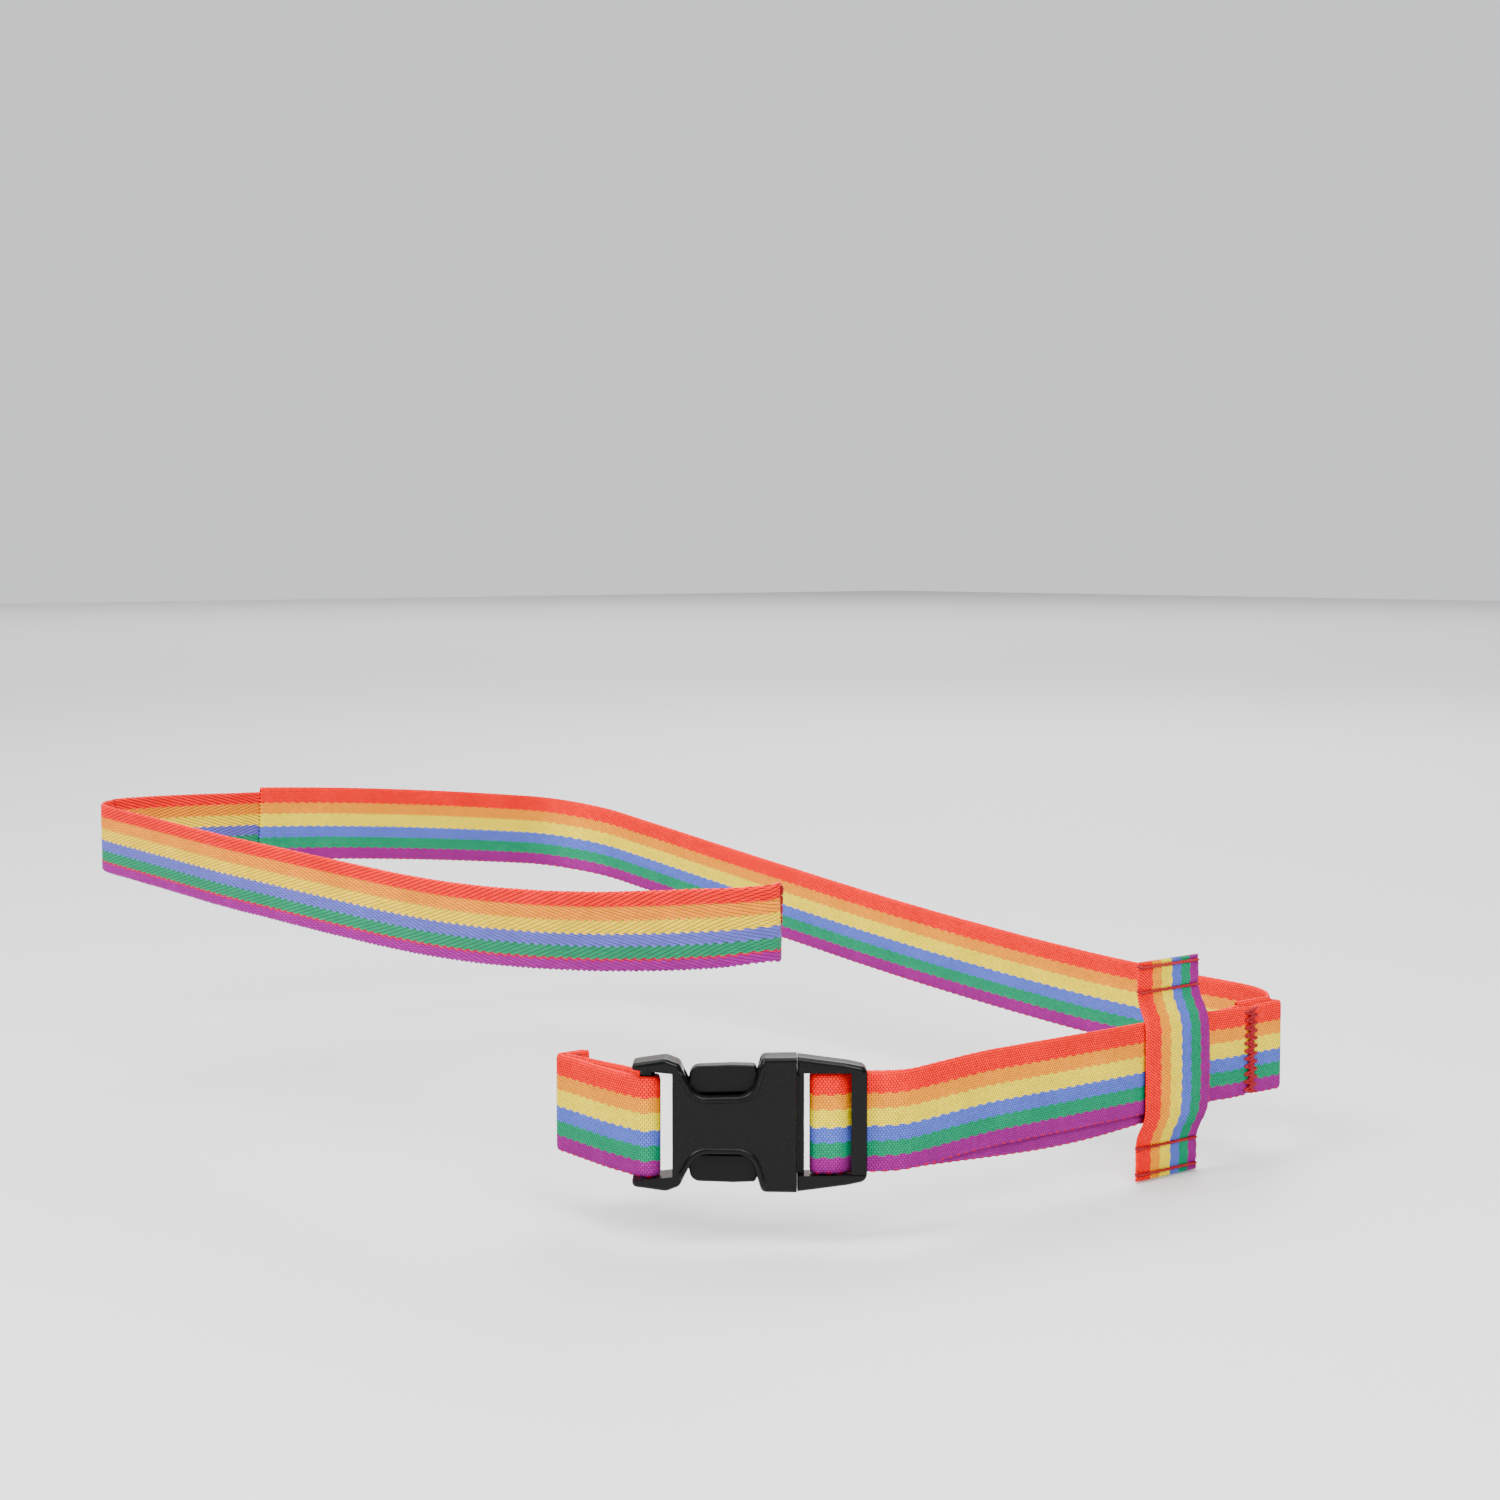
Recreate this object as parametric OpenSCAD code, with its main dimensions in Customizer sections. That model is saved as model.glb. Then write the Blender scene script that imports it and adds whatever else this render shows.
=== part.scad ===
// Luggage strap: a herringbone band and a woven webbing belt that share one loop round a case,
// closed at the front corner by a side-release buckle, with the spare tail held in a sewn keeper.
// The origin is the middle of the case at the height of the side webbing. +Y is to the back.

/* [Luggage outline] */
// Left face of the case
left_x = -172; // [-200:1:-150]
// Right face of the case
right_x = 162.5; // [140:0.5:200]
// Front face of the case at its corners
front_y = -95; // [-120:1:-90]
// Rear face of the case
rear_y = 108; // [100:1:130]
// How far the front face bulges between its corners
front_bulge = 7; // [0:0.5:12]
// Radius of the two rear corners
rear_corner_r = 25; // [18:1:35]
// Radius of the front left corner
front_corner_r = 18; // [12:1:30]

/* [Webbing] */
// Width of the belt webbing and the keeper
web_w = 25; // [24:0.5:25]
// Thickness of the webbing
web_t = 1.3; // [1:0.1:1.3]
// Width of the herringbone band
band_w = 21.4; // [18:0.2:24]
// Thickness of the herringbone band
band_t = 1.2; // [0.8:0.1:1.4]
// Air between two layers of webbing
layer_gap = 0.15; // [0.1:0.05:0.2]
// Length of webbing turned into a seam
seam_in = 8; // [6:1:10]

/* [Front band] */
// Height of the band's middle where it turns the left corner
band_left_z = 46.4; // [40:0.2:50]
// Height of the band's middle halfway across the front
band_low_z = 40.4; // [38:0.2:46]
// Height of the band's middle at the right corner seam
band_right_z = 50.5; // [45:0.5:56]
// How far the band leans out at the top by the time it reaches the seam, in degrees
band_lean = 21; // [0:1:24]
// Length of the sewn lap between band and webbing
lap_len = 36; // [30:1:44]
// Where the webbing's end lies on the left side
lap_y = -30; // [-50:1:-10]

/* [Side webbing] */
// How far the standing layer droops below the tail
stand_droop = 4.5; // [0:0.5:6]
// Where the folded end of the tail lies
tail_end_y = 94; // [90:1:96]
// Length of the hem folded under the tail
hem_len = 18; // [14:1:20]

/* [Keeper] */
// Front edge of the keeper
keeper_y = 35.9; // [25:0.1:45]
// Top edge of the keeper
keeper_top_z = 28.5; // [27:0.5:32]
// Lower edge of the keeper
keeper_low_z = -31; // [-34:0.5:-28]
// How far the keeper stands off the case over the webbing
keeper_bow = 4.2; // [3.8:0.1:5]

/* [Buckle] */
// Angle between the buckle and the front face
buckle_turn = 48.4; // [45:0.1:52]
// Height of the buckle's middle
buckle_z = -1.5; // [-3:0.5:0]
// Half length of the buckle, from its middle to either end
buckle_half = 28.9; // [28.9:0.1:29.2]
// Half width over the collar and the plug's shoulders
shoulder_half = 16.8; // [16.5:0.1:17.2]
// Half thickness of the socket
socket_half_t = 4.5; // [4.3:0.1:4.8]
// Half thickness of the plug frame
plug_half_t = 3.5; // [3.3:0.1:3.8]
// Depth of each plate of the socket
plate_t = 1.9; // [1.7:0.1:2]
// Half width of the webbing slots
slot_half = 12.75; // [12.7:0.05:13]

/* [Thread] */
// Thickness of the sewing thread
thread_d = 0.7; // [0.5:0.1:0.8]
// Length of one stitch
stitch_len = 2.3; // [1.8:0.1:2.6]
// Distance from stitch to stitch
stitch_pitch = 3; // [2.8:0.1:3.4]
// Width of the zigzag across the tail
zigzag_w = 5.4; // [4:0.2:6]
// Number of zigzag turns across the tail
zigzag_turns = 10; // [6:1:12]

/* [Hidden] */

thread = "crimson";
fit_gap = 0.1;
bend_step = 6;
span_step = 6;
depth_y = rear_y - front_y;
width_x = right_x - left_x;
stand_x = right_x + web_t / 2;
tail_x = right_x + web_t * 1.5 + layer_gap;
hem_x = tail_x + web_t + layer_gap;
loose_y = keeper_y - 2;

// The buckle's own line: its middle in plan, and a point given along and across it.
buckle_mid = [140.6, -83.4];
along = [cos(buckle_turn), sin(buckle_turn)];
inward = [-sin(buckle_turn), cos(buckle_turn)];
function at_buckle(u, y) = buckle_mid + u * along + y * inward;

// Places along the buckle, measured from its middle.
parting_u = 11.6;
collar_u = 2.9;
wall_u = [-19, -16.2];
bar_u = -25.2;
bar_r = 1.9;
frame_u = parting_u + 0.3;
bridge_u = 13.4;
window_end_u = 25;
mid_bar_u = [17.25, 20.35];
mid_bar_r = 1.2;
pivot_u = 8.4;
pivot_z = 10.6;
arm_half_t = 2.2;
cavity_half_t = socket_half_t - plate_t;
collar_half = 12.6;
loop_end_u = buckle_half + 0.3;
tail_y = 0.5;
under_y = 2;
over_y = -1.9;

function unit(v) = v / norm(v);
function ease(t) = let (s = max(0, min(1, t))) s * s * (3 - 2 * s);
function cross2(a, b) = a[0] * b[1] - a[1] * b[0];

// A corner of a route rounded to radius r, between the points before and after it.
function fillet(before, p, after, r) =
    let (d1 = unit(before - p), d2 = unit(after - p), half = acos(d1 * d2) / 2)
    r == 0 || half > 89.9 ? [p] :
    let (mid = p + unit(d1 + d2) * r / sin(half), first = p + d1 * r / tan(half) - mid)
    let (a = atan2(first[1], first[0]), turn = 180 - 2 * half)
    let (way = cross2(p - before, after - p) > 0 ? 1 : -1, n = ceil(turn / bend_step))
    [for (i = [0:n]) mid + r * [cos(a + way * turn * i / n), sin(a + way * turn * i / n)]];

// A route given as [x, y, radius] corners, with every corner rounded.
function rounded(c) = let (n = len(c) - 1) [
    [c[0][0], c[0][1]],
    for (i = [1:n - 1]) each fillet(
        [c[i - 1][0], c[i - 1][1]], [c[i][0], c[i][1]], [c[i + 1][0], c[i + 1][1]], c[i][2]),
    [c[n][0], c[n][1]]];

// The same route with its long straight spans divided.
function divided(path) = [
    for (i = [0:len(path) - 2])
        let (n = max(1, ceil(norm(path[i + 1] - path[i]) / span_step)))
        for (k = [0:n - 1]) path[i] + (path[i + 1] - path[i]) * k / n,
    path[len(path) - 1]];

function tangent(path, i) =
    unit(path[min(i + 1, len(path) - 1)] - path[max(i - 1, 0)]);

// A flat outline of even thickness along a route.
function strip(path, t) = let (n = len(path) - 1) concat(
    [for (i = [0:n]) let (d = tangent(path, i)) path[i] + [d[1], -d[0]] * t / 2],
    [for (i = [n:-1:0]) let (d = tangent(path, i)) path[i] - [d[1], -d[0]] * t / 2]);

// Webbing that stands on edge along a route in plan, with its middle at the given heights.
// Where leans are given, its top leans to the front by that angle.
module ribbon(path, heights, width, t, leans = []) {
    route = [for (i = [0:len(path) - 1]) [path[i][0], path[i][1], heights[i]]];
    last = len(route) - 1;
    rings = [for (i = [0:last])
        let (d = unit(route[min(i + 1, last)] - route[max(i - 1, 0)]))
        let (upright = unit(cross(unit([d[1], -d[0], 0]), d)))
        let (top = unit(upright + (len(leans) > i ? [0, -tan(leans[i]), 0] : [0, 0, 0])))
        let (side = unit(cross(d, top)) * t / 2, up = top * width / 2)
        for (corner = [[1, -1], [1, 1], [-1, 1], [-1, -1]])
            route[i] + side * corner[0] + up * corner[1]];
    walls = [for (i = [0:last - 1], k = [0:3])
        let (a = 4 * i + k, b = 4 * i + (k + 1) % 4)
        each [[a, b, b + 4], [a, b + 4, a + 4]]];
    polyhedron(rings, concat([[3, 2, 1, 0]], walls, [[for (k = [0:3]) 4 * last + k]]));
}

// The same webbing where it runs level.
module level_ribbon(path, mid_z, width, t) {
    ribbon(path, [for (p = path) mid_z], width, t);
}

// One stitch of thread from one point to another.
module stitch(from, to) {
    span = to - from;
    lean = acos(span[2] / norm(span));
    translate(from) rotate([0, lean, atan2(span[1], span[0])])
        cylinder(h = norm(span), d = thread_d, $fn = 16);
}

// A row of stitches from one point towards another.
module stitch_row(from, to) {
    count = floor(norm(to - from) / stitch_pitch);
    way = unit(to - from);
    start = from + way * (norm(to - from) - (count - 1) * stitch_pitch - stitch_len) / 2;
    for (i = [0:count - 1])
        stitch(start + way * i * stitch_pitch, start + way * (i * stitch_pitch + stitch_len));
}

module on_buckle() {
    translate([buckle_mid[0], buckle_mid[1], buckle_z]) rotate(buckle_turn) children();
}

// A flat part of the buckle: its outline is drawn along the buckle and upright.
module slab(from_y, to_y) {
    translate([0, to_y, 0]) rotate([90, 0, 0]) linear_extrude(to_y - from_y) children();
}

module mirrored_z() {
    children();
    mirror([0, 0, 1]) children();
}

/* Herringbone band */

band_out = band_t / 2;
seam_x = right_x - 4;
seam_y = front_y + 4.5;
band_fall = band_left_z - band_low_z;

// The band falls evenly from the left corner to the middle, and from there sweeps up to the seam.
function band_z(x) = let (t = max(0, x) / seam_x)
    band_low_z + band_fall * x / left_x + (band_right_z - band_low_z - band_fall * seam_x / left_x) * t * t;

function band_lean_at(x) = band_lean * ease((x + 30) / (seam_x + 30));

// Height of the belt round the left side and the back, level where it meets the side webbing.
function belt_z(p) =
    let (q = max(0, min(1, (p[0] - left_x + p[1] - front_y) / (width_x + depth_y))))
    band_left_z * (1 - ease(q)) + band_fall * q * (1 - q) * (1 - q);

band_path = divided(rounded([
    [seam_x - seam_in * 0.7, seam_y + seam_in * 0.7],
    [seam_x, seam_y, band_t],
    [seam_x - 10, front_y - 2, 20],
    [right_x - 100, front_y - front_bulge, 250],
    [left_x + 100, front_y - front_bulge, 250],
    [left_x - band_out, front_y - band_out, front_corner_r],
    [left_x - band_out, lap_y - 10, 20],
    [left_x - web_t - layer_gap - band_out, lap_y - 2, 20],
    [left_x - web_t - layer_gap - band_out, lap_y + lap_len]]));

module front_band() {
    color("orange")
    ribbon(band_path,
        [for (p = band_path) p[0] > left_x + 1 ? band_z(p[0]) : belt_z(p)], band_w, band_t,
        [for (p = band_path) band_lean_at(p[0])]);
}

module band_end_stitching() {
    top = unit([0, -tan(band_lean), 1]);
    face = unit(cross(top, [1, -1, 0]));
    middle = [seam_x - seam_in * 0.4, seam_y + seam_in * 0.4, band_right_z]
        + face * (band_t / 2 + thread_d / 2 + fit_gap);
    color(thread)
    stitch_row(middle - top * (band_w / 2 - 1), middle + top * (band_w / 2 - 1));
}

/* Belt webbing */

belt_path = divided(rounded([
    [stand_x, loose_y + fit_gap],
    [stand_x, rear_y + web_t / 2, rear_corner_r],
    [left_x - web_t / 2, rear_y + web_t / 2, rear_corner_r],
    [left_x - web_t / 2, lap_y]]));

// The standing layer droops most halfway between the plug and the keeper.
function stand_z(y) = y < 5
    ? buckle_z - (stand_droop + buckle_z) * ease((y + 60) / 65)
    : -stand_droop * (1 - ease((y - 5) / 85));
function tail_z(y) = buckle_z * (1 - ease((y + 60) / 40));

module main_webbing() {
    color("mediumseagreen")
    ribbon(belt_path,
        [for (p = belt_path) p[0] > right_x - 1 ? stand_z(p[1]) : belt_z(p)], web_w, web_t);
}

module lap_stitching() {
    outer_x = left_x - web_t - layer_gap - band_t - thread_d / 2 - fit_gap;
    near_y = lap_y + 5;
    far_y = lap_y + lap_len - 3;
    half = band_w / 2 - 2.5;
    near_z = belt_z([left_x, near_y]);
    far_z = belt_z([left_x, far_y]);
    color(thread) {
        for (s = [-1, 1]) stitch_row([outer_x, near_y, near_z + s * half],
            [outer_x, far_y, far_z + s * half]);
        for (y = [near_y - 1, far_y + 1])
            let (z = belt_z([left_x, y])) stitch_row([outer_x, y, z - half], [outer_x, y, z + half]);
        for (s = [-1, 1]) stitch_row([outer_x, near_y + 1, near_z - s * (half - 1)],
            [outer_x, far_y - 1, far_z + s * (half - 1)]);
    }
}

function side_path(y, x, r) = divided(rounded([
    at_buckle(loop_end_u + fit_gap, y),
    concat(meet(y, x), [r]),
    [x, loose_y]]));
// Where the line out of the plug meets the plane of the side.
function meet(y, x) = let (p = at_buckle(buckle_half, y)) p + along * (x - p[0]) / along[0];

module standing_webbing() {
    path = side_path(under_y, stand_x, 14);
    color("gold") ribbon(path, [for (p = path) stand_z(p[1])], web_w, web_t);
}

module tail_webbing() {
    path = side_path(tail_y, tail_x, 15.5);
    color("orangered") ribbon(path, [for (p = path) tail_z(p[1])], web_w, web_t);
}

module tail_end() {
    fold_r = (web_t + layer_gap) / 2;
    path = rounded([
        [tail_x, loose_y + fit_gap],
        [tail_x, keeper_y + web_w + 2, 20],
        [hem_x, keeper_y + web_w + 9, 20],
        [hem_x, tail_end_y, fold_r],
        [tail_x, tail_end_y, fold_r],
        [tail_x, tail_end_y - hem_len]]);
    color("orangered") level_ribbon(path, 0, web_w, web_t);
}

module tail_hem_stitching() {
    rise = (web_w - 2) / zigzag_turns;
    x = hem_x + web_t / 2 + thread_d / 2 + fit_gap;
    mid_y = tail_end_y - hem_len + 4;
    color(thread)
    for (i = [0:zigzag_turns - 1]) let (z = -web_w / 2 + 1 + i * rise) {
        stitch([x, mid_y - zigzag_w / 2, z], [x, mid_y + zigzag_w / 2 - thread_d, z + rise / 2 - 0.4]);
        stitch([x, mid_y + zigzag_w / 2, z + rise / 2],
            [x, mid_y - zigzag_w / 2 + thread_d, z + rise - 0.4]);
    }
}

/* Keeper */

keeper_x = right_x + web_t / 2;
keeper_path = rounded([
    [keeper_x, keeper_top_z],
    [keeper_x, 18, 5],
    [keeper_x + keeper_bow, 12.6, 7],
    [keeper_x + keeper_bow, -14, 7],
    [keeper_x, -19.6, 5],
    [keeper_x, keeper_low_z]]);

module keeper() {
    color("khaki")
    translate([0, keeper_y + web_w, 0]) rotate([90, 0, 0])
        linear_extrude(web_w) polygon(strip(keeper_path, web_t));
}

module keeper_stitch(z) {
    x = right_x + web_t + thread_d / 2 + fit_gap;
    color(thread) stitch_row([x, keeper_y, z], [x, keeper_y + web_w, z]);
}

module keeper_stitch_top_outer() { keeper_stitch(27.2); }
module keeper_stitch_top_inner() { keeper_stitch(20.5); }
module keeper_stitch_low_inner() { keeper_stitch(-22); }
module keeper_stitch_low_outer() { keeper_stitch(-29.2); }

/* Anchor webbing, doubled round the socket's bar */

anchor_seam = [87.2, front_y - front_bulge + 1.5];
bar_mid = at_buckle(bar_u, 0);
loop_r = bar_r + fit_gap + web_t / 2;
seam_way = unit(anchor_seam - bar_mid);
seam_side = [-seam_way[1], seam_way[0]];
layer_half = (web_t + layer_gap) / 2;

module anchor_webbing() {
    path = rounded([
        anchor_seam + [layer_half, seam_in],
        concat(anchor_seam + [layer_half, layer_half], 0.8),
        concat(bar_mid + seam_way * 14 - seam_side * loop_r, 12),
        concat(bar_mid - seam_way * loop_r - seam_side * loop_r, loop_r),
        concat(bar_mid - seam_way * loop_r + seam_side * loop_r, loop_r),
        concat(bar_mid + seam_way * 14 + seam_side * loop_r, 12),
        concat(anchor_seam + [-layer_half, -layer_half], 0.8),
        anchor_seam + [-layer_half, seam_in]]);
    color("mediumpurple") level_ribbon(path, buckle_z - 0.7, web_w, web_t);
}

module anchor_end_stitching() {
    x = anchor_seam[0] + layer_half + web_t / 2 + thread_d / 2 + fit_gap;
    y = anchor_seam[1] + seam_in * 0.55;
    color(thread) stitch_row([x, y, buckle_z - web_w / 2], [x, y, buckle_z + web_w / 2]);
}

/* Buckle socket */

// Half of the socket's outline, above the middle line: collar, recess, shoulder and horn.
socket_edge = rounded([
    [parting_u, 0],
    [parting_u, shoulder_half, 0.8],
    [collar_u, shoulder_half - 0.3, 1],
    [0.2, 7.4, 3.5],
    [-13.4, 7.2, 4],
    [-17.4, 14.6, 2],
    [-buckle_half, 15.4, 1.2],
    [-buckle_half, slot_half, 1],
    [-24.2, slot_half, 0],
    [-24.2, 0]]);

module socket() {
    color("dimgray") on_buckle() difference() {
        union() {
            difference() {
                mirrored_z() slab(-socket_half_t, socket_half_t) polygon(socket_edge);
                slab(-socket_half_t - 1, socket_half_t + 1)
                    translate([wall_u[0] - 8, -slot_half]) square([8, 2 * slot_half]);
            }
            translate([bar_u, 0, -slot_half - 0.5]) cylinder(h = 2 * slot_half + 1, r = bar_r, $fn = 48);
        }
        slab(-cavity_half_t, cavity_half_t) {
            translate([collar_u - 1, -collar_half]) square([parting_u, 2 * collar_half]);
            translate([wall_u[1], -shoulder_half]) square([collar_u - wall_u[1], 2 * shoulder_half]);
        }
    }
}

/* Plug: frame with two webbing bars, a centre tongue and two sprung arms */

plug_edge = rounded([
    [frame_u, 0],
    [frame_u, shoulder_half, 0.4],
    [window_end_u, 15.6, 12],
    [buckle_half, 14.4, 2.5],
    [buckle_half, 0]]);

module plug_frame() {
    color("dimgray") on_buckle() {
        difference() {
            union() {
                difference() {
                    mirrored_z() slab(-plug_half_t, plug_half_t) polygon(plug_edge);
                    slab(-plug_half_t - 1, plug_half_t + 1)
                        translate([bridge_u, -slot_half])
                            square([window_end_u - bridge_u, 2 * slot_half]);
                    slab(-tail_y + 0.2, plug_half_t + 1)
                        translate([window_end_u - 1, -slot_half]) square([9, 2 * slot_half]);
                    slab(-plug_half_t - 1, -mid_bar_r)
                        translate([frame_u - 1, -slot_half])
                            square([bridge_u - frame_u + 1.5, 2 * slot_half]);
                }
                slab(-arm_half_t, arm_half_t) {
                    translate([pivot_u - 2, -collar_half + 0.2])
                        square([frame_u - pivot_u + 2.5, 2 * collar_half - 0.4]);
                    translate([-9, -4]) square([16, 8]);
                    translate([-9, 0]) circle(r = 4, $fn = 48);
                }
            }
            for (s = [-1, 1]) {
                slab(-plug_half_t, plug_half_t) translate([pivot_u, s * pivot_z])
                    circle(r = 1.65, $fn = 48);
                slab(-plug_half_t, plug_half_t) translate([pivot_u - 2.1, s * pivot_z - 2.1])
                    square([2.1, 4.2]);
            }
        }
        slab(-mid_bar_r, mid_bar_r)
            translate([mid_bar_u[0], -slot_half - 0.5])
                square([mid_bar_u[1] - mid_bar_u[0], 2 * slot_half + 1]);
        for (u = mid_bar_u) translate([u, 0, -slot_half - 0.5])
            cylinder(h = 2 * slot_half + 1, r = mid_bar_r, $fn = 48);
    }
}

// One arm: round root at its pivot, slim neck, and the button that fills the recess.
arm_edge = rounded([
    [pivot_u, pivot_z - 1.1],
    [pivot_u, pivot_z + 1.1, 0],
    [collar_u + 1, pivot_z + 1.4, 2],
    [collar_u - 0.9, pivot_z + 2, 0.3],
    [collar_u - 1.4, 13.8, 0.8],
    [-4, 14.6, 20],
    [-14.4, 14.2, 2.5],
    [-15.4, 10.6, 1.5],
    [-13, 9.3, 3],
    [0, 8.9, 3],
    [4, pivot_z - 1.1, 3],
    [pivot_u, pivot_z - 1.1]]);

module arm() {
    slab(-arm_half_t, arm_half_t) {
        polygon(arm_edge);
        translate([pivot_u, pivot_z]) circle(r = 1.5, $fn = 48);
    }
}

module upper_arm() {
    color("black") on_buckle() arm();
}

module lower_arm() {
    color("black") on_buckle() mirror([0, 0, 1]) arm();
}

/* The belt's turn round the plug's middle bar */

module adjuster_loop() {
    turn_r = (under_y - over_y) / 2;
    back_u = mid_bar_u[0] - turn_r + 0.05;
    path = rounded([
        at_buckle(loop_end_u, tail_y),
        concat(at_buckle(24.8, tail_y), 2),
        concat(at_buckle(21.4, over_y - 0.05), 2.5),
        concat(at_buckle(back_u, over_y), turn_r),
        concat(at_buckle(back_u, under_y), turn_r),
        at_buckle(loop_end_u, under_y)]);
    color("orangered") level_ribbon(path, buckle_z, web_w, web_t);
}

front_band();
band_end_stitching();
main_webbing();
lap_stitching();
standing_webbing();
tail_webbing();
tail_end();
tail_hem_stitching();
keeper();
keeper_stitch_top_outer();
keeper_stitch_top_inner();
keeper_stitch_low_inner();
keeper_stitch_low_outer();
anchor_webbing();
anchor_end_stitching();
socket();
plug_frame();
adjuster_loop();
upper_arm();
lower_arm();
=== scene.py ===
"""Looks of the luggage strap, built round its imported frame: webbing, twisted thread and a moulded buckle."""

import logging
import math
from collections.abc import Callable, Sequence
from dataclasses import dataclass, field
from enum import Enum

import bpy
import numpy as np
from mathutils import Matrix, Vector


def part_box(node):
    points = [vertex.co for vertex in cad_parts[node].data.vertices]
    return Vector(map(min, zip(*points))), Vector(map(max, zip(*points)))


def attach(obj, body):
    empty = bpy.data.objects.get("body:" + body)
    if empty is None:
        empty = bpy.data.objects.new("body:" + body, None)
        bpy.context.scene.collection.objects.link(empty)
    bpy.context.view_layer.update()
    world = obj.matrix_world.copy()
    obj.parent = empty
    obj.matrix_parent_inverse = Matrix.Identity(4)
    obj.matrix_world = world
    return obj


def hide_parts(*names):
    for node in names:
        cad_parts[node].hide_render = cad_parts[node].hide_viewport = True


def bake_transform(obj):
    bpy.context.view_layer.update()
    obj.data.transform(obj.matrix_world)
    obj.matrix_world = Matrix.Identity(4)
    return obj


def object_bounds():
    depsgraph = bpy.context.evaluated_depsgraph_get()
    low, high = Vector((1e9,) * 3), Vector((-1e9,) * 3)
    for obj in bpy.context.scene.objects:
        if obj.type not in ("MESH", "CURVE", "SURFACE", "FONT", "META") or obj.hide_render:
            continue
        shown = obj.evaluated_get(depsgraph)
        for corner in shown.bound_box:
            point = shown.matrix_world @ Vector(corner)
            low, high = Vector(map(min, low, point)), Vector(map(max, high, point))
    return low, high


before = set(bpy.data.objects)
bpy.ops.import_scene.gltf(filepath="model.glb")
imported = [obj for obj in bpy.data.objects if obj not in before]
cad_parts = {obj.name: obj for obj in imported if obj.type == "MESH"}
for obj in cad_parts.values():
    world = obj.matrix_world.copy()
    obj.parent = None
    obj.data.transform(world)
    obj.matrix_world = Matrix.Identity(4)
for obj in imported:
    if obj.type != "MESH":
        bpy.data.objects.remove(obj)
CAD_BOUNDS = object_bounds()

log = logging.getLogger("luggage_strap")

# Routes, widths and outlines are in millimetres, and every mesh is in metres.
MM = 0.001
# Most triangles that a webbing is woven with.
FACE_LIMIT = 188_000
# Points closer than this, in metres, are one point.
MERGE = 1e-7
FULL_TURN = 2 * math.pi
# Points of a moulding closer than this, in millimetres, lie level.
SAME_MM = 1e-3
# How much of its rounding a crisp edge of a moulding gets.
CRISP_SHARE = 0.25
# The shader's input for how strongly it reflects.
SHINE = "Specular IOR Level"
# The kind of Map Range node that eases in and out.
SMOOTH = "SMOOTHSTEP"
# The UV map that every woven or twisted piece carries.
WEAVE_MAP = "Weave"
# How far the lower edge's loops lag behind the upper edge's, in radians.
LOOP_LAG = 1.3
# Half the angle of a corner that is too straight to round.
NEARLY_STRAIGHT = math.radians(89.5)

Value = float | bpy.types.NodeSocket
Inputs = dict[str | int, object]
Colour = tuple[float, float, float]
Rgba = tuple[float, float, float, float]
Point = tuple[float, float, float]
Corner = tuple[float, float] | Point


# ---------------------------------------------------------------- shapes in plan


def ease(share: np.ndarray) -> np.ndarray:
    """Runs smoothly from 0 to 1 as its argument does."""
    held = np.clip(share, 0, 1)
    return held * held * (3 - 2 * held)


def unit(rows: np.ndarray) -> np.ndarray:
    """The same directions, one to a row, each of length 1."""
    return rows / np.linalg.norm(rows, axis=1)[:, None]


def lengths_along(points: np.ndarray) -> np.ndarray:
    """How far along a line each of its points lies."""
    steps = np.linalg.norm(np.diff(points, axis=0), axis=1)
    return np.concatenate([[0], np.cumsum(steps)])


def on_line(points: np.ndarray, marks: np.ndarray, along: np.ndarray) -> np.ndarray:
    """Places on a line at the given lengths, where marks are its own points' lengths."""
    return np.stack([np.interp(along, marks, column) for column in points.T], axis=1)


def run_of(points: np.ndarray, marks: np.ndarray, along: np.ndarray, reach: float) -> np.ndarray:
    """Which way a line runs at the given lengths, measured over a reach on both sides."""
    ahead, behind = np.minimum(along + reach, marks[-1]), np.maximum(along - reach, 0)
    return unit(on_line(points, marks, ahead) - on_line(points, marks, behind))


def round_end(along: np.ndarray, length: float, reach: float) -> np.ndarray:
    """Share of its full radius that a round-ended cord has at each length."""
    to_end = np.minimum(along, length - along) / reach
    return np.sqrt(1 - (1 - np.clip(to_end, 0, 1)) ** 2)


def moved_along(axis: int, amounts: np.ndarray) -> np.ndarray:
    """Moves along one axis only, one row to an amount."""
    moves = np.zeros((len(amounts), 3))
    moves[:, axis] = amounts
    return moves


def fillet(before: Corner, corner: Corner, after: Corner, step: float) -> list[np.ndarray]:
    """Rounds one corner of an outline.

    Args:
        before: The corner before it.
        corner: The corner itself, with its radius last, if it has one.
        after: The corner after it.
        step: Degrees between two points on the arc.

    Returns:
        The points that stand for the corner.
    """
    point = np.array(corner[:2], float)
    radius = corner[2] if len(corner) > 2 else 0
    first, second = np.array(before[:2]) - point, np.array(after[:2]) - point
    first, second = first / np.linalg.norm(first), second / np.linalg.norm(second)
    half = math.acos(float(np.clip(first @ second, -1, 1))) / 2
    if radius == 0 or half > NEARLY_STRAIGHT:
        return [point]
    middle = (first + second) / np.linalg.norm(first + second)
    centre = point + middle * radius / math.sin(half)
    start = point + first * radius / math.tan(half) - centre
    way = 1 if first[0] * second[1] - first[1] * second[0] < 0 else -1
    turn = math.pi - 2 * half
    count = max(2, math.ceil(math.degrees(turn) / step))
    angles = math.atan2(start[1], start[0]) + way * turn * np.arange(count + 1) / count
    return [centre + radius * np.array([math.cos(a), math.sin(a)]) for a in angles]


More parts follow.
